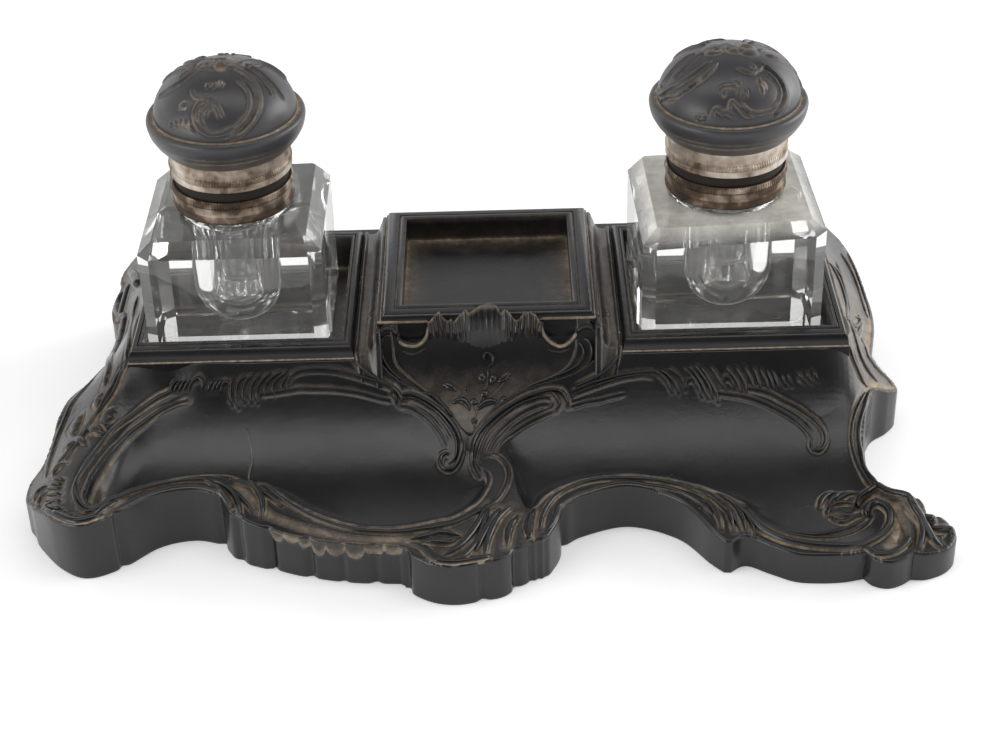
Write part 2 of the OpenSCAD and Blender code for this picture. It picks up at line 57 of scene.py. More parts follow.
# Plan of the stand, as runs of a smooth curve that meet in cusps
OUTLINE = [
    [(-101, 37.5), (101, 37.5)],
    [(101, 37.5), (107, 36), (111, 29), (113, 16), (112.5, 2), (110, -10), (109.5, -14)],
    [(109.5, -14), (113.5, -18), (114.8, -26), (111.5, -31.5), (106, -36.5), (102.5, -46), (100.6, -57),
     (100.8, -65), (104, -74), (109, -79)],
    [(109, -79), (111.5, -81), (112.5, -84.5)],
    [(112.5, -84.5), (116, -84), (119, -86.5), (119.2, -90), (116, -94), (111, -96.3), (107, -96.2)],
    [(107, -96.2), (104, -98.4), (100.5, -99.5), (97, -98.2), (95, -95.4)],
    [(95, -95.4), (90, -96.5), (84, -96.7), (77.5, -95.8), (71.5, -92.4), (65.5, -89), (60.5, -92.2)],
    [(60.5, -92.2), (56.5, -87.5), (49, -77), (36.4, -71.3), (24, -75), (18.5, -79.5)],
    [(18.5, -79.5), (17.3, -85), (14, -92)],
    [(14, -92), (9.8, -93.2), (6.1, -95.8)],
    [(6.1, -95.8), (2.5, -99), (-2.5, -100.3)],
    [(-2.5, -100.3), (-8.5, -101.6), (-14, -100.9), (-19, -98.2), (-24, -93.5)],
    [(-24, -93.5), (-37, -92.4), (-50, -89.2), (-59, -85.3), (-66, -82.4)],
    [(-66, -82.4), (-68.3, -79.6), (-71, -74.7)],
    [(-71, -74.7), (-79, -72.6), (-88, -75.2), (-97, -83.6), (-105.5, -87.3), (-113, -83), (-120, -74),
     (-122, -69.6)],
    [(-122, -69.6), (-124.2, -65.5), (-124.2, -59), (-121.8, -55)],
    [(-121.8, -55), (-120.5, -45), (-120, -34), (-117.4, -24.5), (-113, -20)],
    [(-113, -20), (-110.6, -12.5), (-109.3, -1), (-108.8, 8)],
    [(-108.8, 8), (-111.3, 12), (-113, 19.5), (-112.4, 24), (-110.6, 27.7)],
    [(-110.6, 27.7), (-111.8, 31.5), (-110.5, 36), (-106, 38.5), (-101, 37.5)]
]

# Heights of the rims, beads and skirts at chosen places: x, y, z
HEIGHTS = [
    (-87, -37, 24), (-97.7, -45.7, 21), (-104.2, -58.8, 19), (-106.1, -72.9, 18), (-104.4, -78.8, 17.5),
    (-99.8, -79.8, 17.5), (-89.3, -71.6, 17.5), (-76.7, -66.9, 17.5), (-67.4, -67.5, 17),
    (-61.8, -73, 16), (-54.6, -82.6, 14), (-37.4, -91, 13.5), (-23.5, -88.8, 13), (-10.7, -81, 13),
    (-3, -74.9, 13), (4.6, -61.1, 13.6), (-95.3, -84.3, 18.5), (-80.6, -73.3, 17.5), (-59.9, -84.9, 14),
    (-49, -89, 13.6), (-36.1, -92.4, 13.6), (-21.9, -94.1, 13), (-8, -102.3, 12.9), (2, -100.7, 12.9),
    (9.7, -95.5, 13), (16.6, -85.5, 14), (24.5, -76.1, 14), (36.2, -71.6, 14), (51.8, -77.2, 13),
    (65.8, -89.1, 10), (78.5, -93.4, 9.5), (94.7, -93.4, 9), (13.8, -84.7, 13.5), (54.8, -73, 13),
    (63.2, -80.6, 12), (76.5, -89, 10), (88.9, -92.2, 9.5), (100, -86.6, 9), (97.6, -82.3, 9),
    (109, -73, 15), (112.3, -83.2, 13), (111.2, -93.3, 9), (104.6, -97.1, 9), (118, -88, 9),
    (-114, -79, 16.5), (-123, -63, 10.5), (-117, -62, 15.5), (-122, -71, 11), (-118, -75, 14),
    (-120.5, -50, 12.5), (-116, -50, 16), (-119.5, -36, 14.8), (-115, -36, 17), (-113, -20, 16.5),
    (-110, 0, 14), (-112, 22, 16.5), (-110, 35, 20.5), (-118.5, -27, 15), (-110, -10, 15.5),
    (-99.5, -28, 31.5), (-99.5, -10, 31.5), (-99.5, 10, 31.5), (-99.5, 33, 31.5), (-101, -34, 29),
    (-106, -38, 23), (-99, -38, 26.5), (99.5, -28, 31.5), (99.5, -10, 31.5), (99.5, 10, 31.5),
    (99.5, 33, 31.5), (112, 17, 15.5), (112.5, 2, 14), (110, 34, 20.5), (110, -12, 12), (114, -26, 11.5),
    (108, -36, 15), (101.5, -48, 16.5), (100.5, -58, 12.5), (101, -65, 12), (104.5, -74, 13.8),
    (109, -79.5, 15)
]

# Curves of the relief, in plan
TRAY_L_IN = [(-26.9, -41.1), (-29.9, -40.6), (-34, -39.7), (-38.1, -39), (-42.2, -38.6), (-47.6, -38.4),
    (-51.7, -38.3), (-57.2, -38.8), (-62.7, -39.2), (-68.2, -39.6), (-71.4, -39.8), (-75, -40),
    (-79.1, -40), (-81.9, -39.8), (-84.7, -39.8), (-87.4, -40.6), (-90, -42), (-92.5, -44.2),
    (-95, -46.6), (-97.9, -49.8), (-100.1, -53.4), (-102.2, -57.5), (-104.1, -63), (-105.2, -66.2),
    (-105.7, -69.7), (-106.1, -72.9), (-105.9, -75.6), (-104.8, -77.6), (-103.4, -78.6), (-101.9, -78),
    (-100.3, -76.7), (-98.4, -75.1), (-96.3, -73.6), (-93.2, -71.7), (-89.5, -69.6), (-85.8, -68.2),
    (-82, -67), (-76.8, -66.2), (-71.5, -65.9), (-67.5, -66.6), (-65, -68.1), (-62.9, -69),
    (-60.3, -68.5), (-58.7, -69.1), (-55.4, -71.4), (-52.7, -74), (-49.9, -76.3), (-45.8, -78.9),
    (-41.8, -81.1), (-37.9, -83), (-33.9, -84.4), (-28.7, -85.1), (-23.6, -85), (-18.5, -83.9),
    (-14.1, -82.5), (-10.7, -81.8), (-6.9, -79), (-3.5, -75.3), (-1.4, -70.6), (-0.4, -66.4),
    (-0.8, -63.9), (-1.8, -62.2)]
TRAY_L_OUT = [(-86.8, -36.7), (-88.1, -37.2), (-90.2, -38.4), (-92.2, -40), (-95.3, -42.8), (-97.8, -45),
    (-99.8, -46.7), (-102.2, -49.6), (-103.9, -53), (-105.6, -57.8), (-107.1, -62.7), (-108.4, -66.5),
    (-109, -69.6), (-109.1, -72.4), (-108.6, -75.3), (-107.7, -77.9), (-106.2, -80.4), (-104.4, -81.8),
    (-103, -81.4), (-101.2, -79.7), (-99.4, -77.7), (-97.7, -76.6), (-94.1, -74.3), (-90.5, -72.3),
    (-86.8, -70.8), (-83, -69.7), (-79.1, -69.2), (-75.7, -69.1), (-73.7, -70), (-71.9, -72.4),
    (-70.9, -75.1), (-70.1, -78)]
RIM_L = [(-95.8, -83.7), (-94.3, -81.8), (-90.9, -78.9), (-87.3, -76.3), (-83.7, -74.3), (-79.9, -73.5),
    (-75.9, -73.8), (-73.3, -74.7), (-71.3, -76.3)]
FOOT_L_IN = [(-116, -80.9), (-114.3, -84.2), (-112.2, -86.9), (-109.5, -88.8), (-106, -89.4),
    (-103.4, -87.8), (-101.6, -84.9), (-100.3, -81.9), (-98.6, -79.6), (-96.7, -77.8)]
FOOT_L_OUT = [(-118, -77.9), (-116.5, -82.6), (-114.5, -86.4), (-112.1, -89.2), (-109.1, -91.2),
    (-105.6, -92.2), (-102.3, -91.5), (-100.1, -89.5), (-98.3, -87.5), (-97.2, -86.6)]
FRONT_L_OUT = [(-60.2, -69.6), (-57.4, -72.2), (-54.4, -74.9), (-51.1, -77.7), (-47, -80.9),
    (-41.7, -84.1), (-37.7, -85.9), (-33.8, -87.1), (-28.6, -87.7), (-23.5, -87.8), (-18.4, -86.9),
    (-13.3, -85.9), (-9.4, -84.4), (-6.1, -82), (-3.5, -80), (-0.9, -78), (1.5, -75.5), (3.1, -72.1),
    (4.2, -68.7), (4.8, -65.4), (4.6, -62.2), (3.5, -59.4), (1.9, -57.5), (0.1, -56.7), (-1.5, -57)]
WAVE_L0 = [(-73.2, -70.4), (-71.1, -72.8), (-69.8, -75.8), (-69.1, -78.3), (-69.6, -80.6), (-70.5, -79.2)]
WAVE_L1 = [(-74.6, -69.6), (-71.6, -70.4), (-69.1, -72.2), (-67, -74.7), (-65.8, -77.5), (-65.1, -80.2),
    (-64.9, -82.7)]
WAVE_L2 = [(-65.1, -67.6), (-62.8, -69.9), (-61, -72.8), (-59.8, -75.6), (-59.3, -78.8), (-59.3, -82)]
FRINGE_TOP = [(-60, -79.9), (-54.6, -82.6), (-49.3, -85.3), (-44, -87.8), (-37.5, -90.1), (-31, -91),
    (-23.4, -90.9), (-20.8, -91.4)]
SS_L1 = [(-24.4, -40.6), (-23.1, -40), (-21.2, -40), (-19, -40.7), (-16.3, -41.9), (-13.6, -43.6),
    (-10.9, -46.1), (-9.3, -48.4), (-8.2, -51), (-7.8, -53.7), (-8.3, -56.3), (-9.6, -58.7),
    (-11.2, -59.7), (-12.8, -59.1), (-13.6, -57.5), (-13.4, -55.8), (-12.3, -54.8), (-11.2, -55.4)]
SS_L2 = [(-23.6, -41.2), (-21.7, -40.8), (-19, -41.5), (-16.3, -42.9), (-14.1, -44.3), (-12, -46.5),
    (-10.4, -48.9), (-9.3, -51.5), (-9.1, -54), (-9.6, -56.3), (-10.9, -57.9)]
SS_L3 = [(-24.5, -42.3), (-21.7, -42.8), (-19, -44), (-16.3, -45.9), (-14.2, -48.3), (-12.8, -50.5),
    (-12, -52.9)]
SS_R1 = [(20.6, -40.2), (18.7, -40), (16.5, -39.9), (13.8, -40.3), (9.7, -41.3), (5.5, -43), (1.9, -45),
    (-0.8, -47.2), (-3.1, -49.7), (-4.5, -52.6), (-5, -55.5), (-5, -58.2), (-4.2, -61.3), (-2.9, -63.3)]
SS_R2 = [(16.8, -41.4), (13.8, -41.4), (9.6, -42.3), (6, -43.8), (2.7, -45.9), (-0.1, -48.4), (-2, -51.2),
    (-3.1, -54.2), (-3.7, -57.2), (-3.4, -59.8)]
SS_R3 = [(15.9, -42.7), (13.7, -42.9), (10.4, -43.9), (6.8, -45.7), (3.5, -48.2), (1, -51), (-0.7, -54),
    (-1.5, -56.7)]
SS_R4 = [(17.2, -44.5), (15, -45.3), (10.8, -46.9), (6.7, -49.2), (3.4, -52), (1.7, -54.4), (0.6, -56.8)]
MOULD_L1 = [(-54.7, -36), (-52.8, -35.3), (-50.3, -34.9), (-46.2, -34.8), (-42.1, -35.1), (-38, -35.8),
    (-35.3, -36.4), (-31.2, -37.3), (-28.5, -38), (-25.8, -38.8)]
MOULD_R1 = [(22, -40.4), (24.7, -39.6), (27.5, -38.8), (30.3, -38.3), (34.4, -37.6), (38.5, -37.1),
    (42.6, -36.9), (46.2, -36.8)]
MOULD_R2 = [(22.5, -41.1), (26.1, -40), (30.2, -39), (34.4, -38.2), (38.5, -37.6), (42.6, -37.4),
    (45.3, -37.9)]
MOULD_R3 = [(21.9, -43.5), (26, -42.6), (30.1, -42.1), (33.4, -41.5), (37, -40.9)]
CS_R1 = [(69.7, -40.5), (73, -40.8), (76.4, -41.7), (79.1, -43), (81.7, -44.2), (84.3, -45.5),
    (86.8, -47.3), (88.8, -48.9), (90.2, -51.1), (90.5, -53.3), (89.7, -55.3), (88.3, -56.6),
    (86.7, -56.1), (86.3, -54.6), (87, -53.2)]
CS_R2 = [(61.8, -41.2), (65.5, -41.7), (69.6, -42.3), (73.6, -43.4), (77.5, -45.1), (81.4, -47.2),
    (83.9, -49), (85.9, -51.2), (86.5, -53.2)]
SIDE_R1 = [(103.3, -38.3), (100.7, -43.3), (98.7, -47.9), (97.7, -51.8), (97.4, -55.6), (97.9, -60.5),
    (99, -66), (100.1, -70), (101.5, -72.9)]
SIDE_R2 = [(106, -36.2), (102.8, -42.2), (100.7, -47.6), (99.6, -51.7), (99.4, -55.6), (99.8, -60.3),
    (100.8, -66.1), (102.4, -71.7)]
ARCH_R1 = [(8.3, -87.3), (9.2, -84.1), (10.8, -79.2), (14.1, -74.2), (18.1, -70.8), (23.5, -68.2),
    (28.8, -67.1), (34.1, -66.7), (39.4, -66.8), (44.7, -67.7), (49.8, -69), (54.9, -71), (58.7, -73),
    (62.4, -75.3), (64.4, -76.8), (66.3, -78)]
ARCH_R2 = [(12.4, -88.7), (13.3, -83), (15.3, -77.7), (18, -73.8), (22.1, -70.8), (26.1, -69.1),
    (31.4, -68.4), (39.3, -68.8), (44.5, -69.6), (49.7, -71.2), (53.9, -73.4), (57.1, -76.2)]
ARCH_R3 = [(15.7, -89.7), (16.9, -84.7), (19.1, -80.1), (23.1, -76.8), (28.5, -73.4), (33.9, -71.7),
    (39.1, -71.3), (44.4, -71.8), (49.5, -73.7), (53.1, -76.5), (55.5, -79.4), (57.3, -82.6)]
BOWL_R1 = [(65.8, -78), (67.6, -81.2), (69.8, -84), (72.9, -86.5), (76.5, -88.5), (80.3, -89.5),
    (84, -90.1), (88, -89.6), (92.2, -87.3), (95.5, -84.8), (97.8, -82.8), (98.8, -81.5)]
BOWL_R2 = [(65.4, -79.6), (66.9, -82.7), (68.6, -85.6), (71.4, -88.6), (75, -91), (79.8, -92.7),
    (84.8, -93.8), (89.9, -94), (93.9, -92.8), (97.3, -90.8), (100.2, -88.5), (102.2, -86.5),
    (103.1, -84.4), (103.2, -82.1), (102.2, -79.8), (100.7, -78.3), (98.9, -78.4), (97.8, -79.9),
    (97.9, -81.8)]
HOLLOW_R = [(95.9, -76), (96.8, -73.5), (98.8, -71.8), (101.4, -72), (104.1, -73.9), (106.6, -77.2),
    (108.6, -80.9), (109.9, -84), (110.6, -87.6), (110, -91), (108.6, -94.8)]
WAVE_R1 = [(54.7, -73.4), (57.6, -76.2), (59.9, -79.3), (62, -82.4), (63.5, -85.6), (64.2, -88.8)]
WAVE_R2 = [(58.9, -74.1), (62.2, -77.2), (65, -80.4), (66.7, -84), (67.6, -88), (66.8, -90.8)]
WAVE_R3 = [(55.6, -77.8), (57.5, -80.5), (58.7, -83.6), (59.1, -87.7)]
SKIRT_L = [(-99.4, -31.5), (-100.8, -34.6), (-101.8, -36.8), (-103.2, -38.6), (-105.4, -40.5),
    (-107, -42.2)]
SKIRT_L2 = [(-105.7, -47.7), (-107.8, -46.6), (-109.2, -47.2), (-110.7, -51.7), (-112.3, -55.9),
    (-113.6, -58.3)]
LEAF_L1 = [(-104.8, -46.5), (-103.3, -44.2), (-101.4, -43.5)]
LEAF_L2 = [(-107.6, -39.9), (-107.2, -37.6), (-106.2, -36)]
FAN1 = [(-20.9, -90.9), (-17, -89.8), (-13.2, -88.4), (-8.1, -89.8)]
FAN2 = [(-18.3, -91.4), (-14.5, -92), (-11.4, -92.5), (-8.9, -91.4)]
BOWL_C = [(-17.2, -93.1), (-15.7, -96), (-13.6, -98.5), (-11.3, -99.8), (-8, -98.7), (-5.5, -95.6),
    (-3.5, -91.6), (-2.2, -86.3), (-1.4, -81.4), (-0.6, -78.4)]
LIP_C = [(-20.8, -92.2), (-18.2, -93.9), (-15.6, -97.6), (-13.1, -100.5), (-11.3, -101.4), (-8, -101.7),
    (-4.3, -101.6), (-1.8, -99.7), (-0.5, -97.4)]
SKIRT_R1 = [(99.5, 11), (102.4, 11.4), (103.5, 6.3), (103.3, -1.3), (103, -7.2), (101.5, -17.3),
    (101.9, -22), (106.9, -5.3), (107.3, -2.1), (105.5, -3.7)]
SKIRT_R2 = [(106.9, -9.2), (105.1, -24.9), (106.6, -27), (109.3, -26.5), (112.1, -24.9), (113.4, -26.3)]
SKIRT_R3 = [(99.4, -30.6), (100.1, -32.9), (101.4, -34.5), (102.7, -36), (104.2, -36.6)]
SKIRT_R4 = [(105.8, 28.8), (108.6, 25.3), (110, 18.1), (110.1, 7.1), (110.8, 3.6)]
FLARE_L = [(-37.1, -33.1), (-34.7, -34.9), (-31.2, -36.8), (-25.8, -38.7)]
FLARE_R = [(36, -33.2), (33.7, -35.5), (31.2, -36.9), (27.5, -38.1), (23.4, -39.4)]
KNOT_L1 = [(-27.1, -38.3), (-25.5, -39.1), (-24.2, -40.4), (-23.9, -41.9)]
KNOT_L2 = [(-26.9, -39.3), (-25.8, -40.5), (-25, -41.8)]
KNOT_R1 = [(18.2, -39.7), (20.1, -40.6), (21.1, -41.9), (21.3, -43.4)]
KNOT_R2 = [(16.5, -40.1), (18.1, -41.2), (18.9, -42.7), (18, -44.3)]
ACAN_1 = [(91.5, -70.4), (89.1, -71), (87.2, -72.8), (86.1, -75.5), (86.1, -77)]
ACAN_2 = [(93.6, -70.7), (91.4, -71.5), (89.3, -73.2), (88.3, -75.1)]
ACAN_3 = [(96.6, -71.1), (94, -71.2), (91.7, -72.7), (90.2, -74.4)]
ACAN_4 = [(96.4, -79.8), (93.3, -80.4), (90.3, -78.8), (88.8, -77), (87.8, -78.1), (87.8, -80.1)]
ACAN_5 = [(96.6, -80.5), (94.5, -80.8), (92.5, -81.8), (90.6, -82.7), (89.2, -81.6), (88.4, -79.7)]
ACAN_6 = [(95.2, -75.8), (92.8, -74.7), (90.4, -74.8), (88.1, -76.2)]
CHAN_R = [(96.8, -78.6), (98, -75.7), (100, -74.5), (102.4, -75.1), (104.7, -78.3), (106.4, -82.1),
    (107.4, -86.1), (107.1, -90), (105.2, -93.8)]
CHAN_IN = [(104.1, -80.2), (105, -83.2), (105, -86.6), (103.8, -90), (101.2, -93.4)]
LEAF_O1 = [(107.9, -80.4), (109.3, -83), (110.7, -85.8), (111.8, -88.9), (113.2, -92.1), (115.5, -93.5)]
LEAF_O2 = [(112.5, -87.7), (114.3, -88.2), (116.8, -87.6), (118.6, -88), (119.1, -89.6), (117.9, -92.1)]
LEAF_O3 = [(107.2, -76.7), (108.5, -77.7), (108.2, -79.7)]
LEAF_O4 = [(111.2, -84), (113, -84.5), (113.5, -86.2), (112.8, -87.7)]
CEN_1 = [(-1.1, -76.7), (-3.5, -85), (-7.6, -93.1), (-12.1, -97.7)]
CEN_2 = [(5.4, -77.9), (1.7, -83.1), (-0.7, -90.5), (-1.7, -97.7)]
CEN_3 = [(7.1, -81.8), (4.7, -87.4), (3.9, -94.7)]
CEN_4 = [(11.3, -79.3), (9.9, -85.8), (9.7, -94.3)]
CEN_5 = [(-16.8, -89.4), (-12.2, -91.7), (-7.6, -90.2)]
CEN_6 = [(2.5, -78.6), (-0.1, -83.9), (-2.5, -90.8), (-4, -96.4)]
INNER_L = [(-100.8, -82.1), (-103, -81), (-105.4, -79.2), (-107.1, -76.7), (-108.4, -73.4), (-108.9, -70),
    (-108.6, -66.5), (-107.7, -62.2), (-106.2, -57.8), (-104.4, -53.3), (-102.2, -49.6)]
SIDE_L = [(-118.7, -62), (-119.5, -55.1), (-119.3, -46.6), (-118.2, -38.7), (-116.3, -30.3),
    (-110.6, -24.3)]
SIDE_L2 = [(-100.7, -32.3), (-101.7, -34.2), (-103.1, -36.2), (-104.4, -38.2), (-106.3, -40.3)]
LEAF_L3 = [(-104.3, -50.2), (-106.8, -48.1), (-109.3, -46.3)]
LEAF_L4 = [(-113.1, -47.6), (-113.4, -42.8), (-112.3, -38.6)]
LEAF_L5 = [(-101.9, -35.6), (-104.5, -37.7), (-107.1, -41.5), (-109.1, -45.6), (-111.5, -50.4),
    (-114, -55.7), (-116.1, -58.8)]
LEAF_L6 = [(-113.7, -54.6), (-113.5, -51.9), (-112.7, -50.2)]
LEAF_L7 = [(-116.4, -63.3), (-115.4, -60.7), (-113.3, -59.8)]
FOOT_X1 = [(-114.2, -84.6), (-111.7, -86.6), (-108.9, -87.8), (-106.2, -87.2), (-103.4, -85)]
FOOT_X2 = [(-116.6, -76.2), (-114.2, -80.3), (-111.8, -81.6), (-110.3, -80.8)]
FOOT_X3 = [(-113.7, -82.9), (-111.3, -84.5), (-109.3, -84.2), (-108.2, -82.3)]
WAVE_T1 = [(-68.1, -68.9), (-64.6, -69.7), (-61.1, -71.6), (-57.8, -74.2), (-54.5, -77.2)]
WAVE_T2 = [(-69.7, -71.5), (-66.6, -73.9), (-63.8, -77.2), (-61.5, -80.1)]
WAVE_T3 = [(-72.2, -72), (-70, -75.8), (-68.7, -79.7)]
CRACK = [(-66.1, -47), (-65, -50.8), (-64.4, -55.4), (-64.9, -58.9), (-65.2, -63.8)]
SKIRT_R5 = [(99.5, 11), (101.1, 7.4), (102.2, 2.3), (102.5, -4.2), (101.9, -13.1), (101.2, -23.7),
    (101.8, -28), (102.7, -30.4), (104.7, -31.7), (107.8, -31.9)]
BACK_R = [(108.4, 32.5), (111.5, 29.4), (113.5, 23.2), (113.8, 15.1), (113.1, 5.4)]
TAN_WAVE = [(-66.3, -71.6), (-62.9, -75), (-59.6, -78.5), (-56.8, -81.5)]
ARCH_R4 = [(9, -90.7), (8.9, -85.7), (10.3, -80.8), (13, -76), (16.2, -72.4)]
ARCH_W1 = [(59.2, -76.5), (60.9, -80), (61.8, -83.8), (62.2, -88)]
ARCH_W2 = [(62, -77.2), (64, -80.5), (65.1, -84.5), (65.4, -89.1)]
BOWL_R3 = [(67.8, -79.3), (70.1, -82), (73.2, -84.5), (77.3, -86.7), (82.3, -87.7), (88.1, -86.8),
    (92.6, -84.6), (96.1, -82.4)]
LEAF_L8 = [(-108.6, -54.3), (-110.8, -51.2), (-112.9, -48.7)]
RIB_1 = [(-119, -75.9), (-118.9, -70.8), (-117, -68.4)]
RIB_2 = [(-121, -69.2), (-120.1, -66.1), (-117.5, -65.8)]
RIB_3 = [(-116.4, -81.4), (-116.2, -77.1), (-114.6, -75)]
RIB_4 = [(-114.3, -84.2), (-113.7, -81.3), (-112.4, -79.4)]
BULB_LIP = [(94.2, -94.3), (95.9, -96), (98.8, -96.8), (102.1, -95.8), (105, -93.4), (107.2, -90.6)]
RIB_L = [(-107.9, 24.9), (-108.5, 17.5), (-109.3, 10.3), (-110, 2.6), (-105.4, -27.3), (-105.7, -34.7)]
RIB_L2 = [(-102.2, 8.5), (-102.7, -0.4), (-100.2, -21.3), (-99.7, -30.7)]
LEAF_L9 = [(-110.7, 25.2), (-111.8, 20.5), (-110.8, 11.1)]
KNOB_L = [(-108.2, 32), (-105.7, 24.7), (-103.3, 16)]
CURL_R = [(101.1, -12.1), (102.2, -13.5), (104.5, -9.7), (107.2, -3), (106.9, -0.6)]
RIDGE_R = [(103, 18.7), (103.2, 8.5), (102.8, -2.2), (100.5, -19.2)]
RUF_L = [
    [(-87.6, -37), (-86.8, -35.7), (-85.3, -35.1)],
    [(-86.5, -37.2), (-85.6, -36.1), (-84.2, -35.3)],
    [(-85.1, -37.4), (-84.2, -36.2), (-82.8, -35.5)],
    [(-83.6, -37.5), (-82.8, -36.6), (-81.6, -35.8)],
    [(-82.2, -37.9), (-81.6, -36.7), (-80.2, -36.1), (-79.1, -36.1), (-78.2, -37.2), (-78.5, -38.3)],
    [(-76.9, -38.8), (-76.3, -37.5), (-75.5, -36.6)],
    [(-75.8, -38.8), (-75, -37.5), (-74.1, -36.4)],
    [(-74.7, -38.6), (-73.9, -37.3), (-73, -36.4)],
    [(-73.3, -39), (-73.1, -37.5), (-72, -36.9), (-70.9, -37.2), (-70.6, -38.7)],
    [(-70.1, -41.3), (-70.9, -39.3), (-70.9, -37.4), (-69.8, -36.3)],
    [(-68.4, -42), (-69.3, -39.9), (-69.3, -37.9), (-68.1, -36.5), (-66.5, -35.8)],
    [(-66.8, -40.9), (-67.6, -39.1), (-67.3, -37.6), (-66, -36.3), (-64.3, -35.6)],
    [(-64.9, -41), (-65.4, -39.4), (-65.1, -37.6), (-63.8, -36.4), (-62.1, -35.5)],
    [(-63.2, -41), (-63.8, -39.2), (-63.2, -37.7), (-61.6, -36.3), (-59.6, -35.4)],
    [(-61.1, -39.7), (-61.6, -38.1), (-60.5, -36.8), (-58.5, -35.8), (-56.6, -35.1)],
    [(-58.6, -39.7), (-59.4, -38.1), (-58.6, -36.9), (-56.9, -36), (-55, -35.3)],
    [(-56.4, -39), (-56.9, -37.8), (-56.1, -36.7), (-54.7, -35.9)],
    [(-55, -38.8), (-55.3, -37.5), (-54.4, -36.2), (-52.8, -35.3)]
]
RUF_R = [
    [(49.8, -41), (48.8, -38.9), (47.2, -37.6), (45.1, -36.6)],
    [(51.7, -41.2), (50.7, -39.1), (48.9, -37.6), (46.8, -36.5)],
    [(53.4, -40.2), (52.7, -38.4), (50.8, -37.1), (48.7, -36.3)],
    [(53.6, -40.6), (53.7, -39), (54.8, -38.3), (56.2, -38.7), (56.6, -40.3)],
    [(57.9, -42.2), (57, -39.7), (55.2, -37.7), (52.8, -36.2)],
    [(59.5, -42.5), (58.3, -39.7), (56.5, -37.5), (54.4, -36)],
    [(60.9, -42.5), (60, -39.7), (58.2, -37.6), (56.1, -35.7)],
    [(62.2, -43.4), (61.8, -41.2), (60, -38.3), (57.7, -36.1)],
    [(65, -41.1), (63.5, -39.6), (62, -37.6), (60.2, -36.1)],
    [(63.5, -40.4), (63.6, -38.8), (65, -38.2), (66.3, -38.9), (67, -40.5)],
    [(68.6, -41.6), (67.9, -39.5), (66.4, -37.7), (64.5, -36.4)],
    [(70.2, -41.6), (69.8, -39.3), (68.5, -37.6), (67.3, -36.3)],
    [(72.4, -41), (71.7, -38.9), (70.7, -37.4), (69.7, -36.3)],
    [(74.3, -41), (73.6, -39.2), (72.9, -37.6), (71.9, -36.3)],
    [(76.2, -41.1), (75.8, -39.4), (74.8, -37.9), (73.8, -36.5)],
    [(77.6, -41.1), (77.2, -39.4), (76.4, -37.9), (75.7, -36.8)],
    [(79, -40.9), (78.5, -39.3), (77.8, -37.9), (77.1, -36.8)],
    [(80.9, -40.3), (80.2, -38.7), (79.7, -37.5)],
    [(82.6, -40.2), (81.8, -38.8), (81.1, -37.6)],
    [(86.1, -39.7), (85.1, -38.7), (83.8, -37.7)],
    [(88, -39.7), (87, -38.5), (86, -37.6)],
    [(89.7, -39.3), (89, -38.3), (88.2, -37.4)]
]
FOOT_F = [
    [(-114.2, -80.3), (-112, -81.9), (-110.2, -83.2)],
    [(-115.7, -76.5), (-113.1, -78.8), (-111, -79.8)],
    [(-116.8, -72.8), (-114.1, -74.9), (-111.9, -76.1)],
    [(-117, -70), (-114.7, -71.8), (-112.5, -72.7)],
    [(-117.2, -67.5), (-114.8, -69.2), (-113, -69.9)],
    [(-116.5, -66.1), (-114.6, -67.5), (-113, -68.4)],
    [(-115.9, -64.7), (-114.3, -65.7), (-112.7, -67)]
]

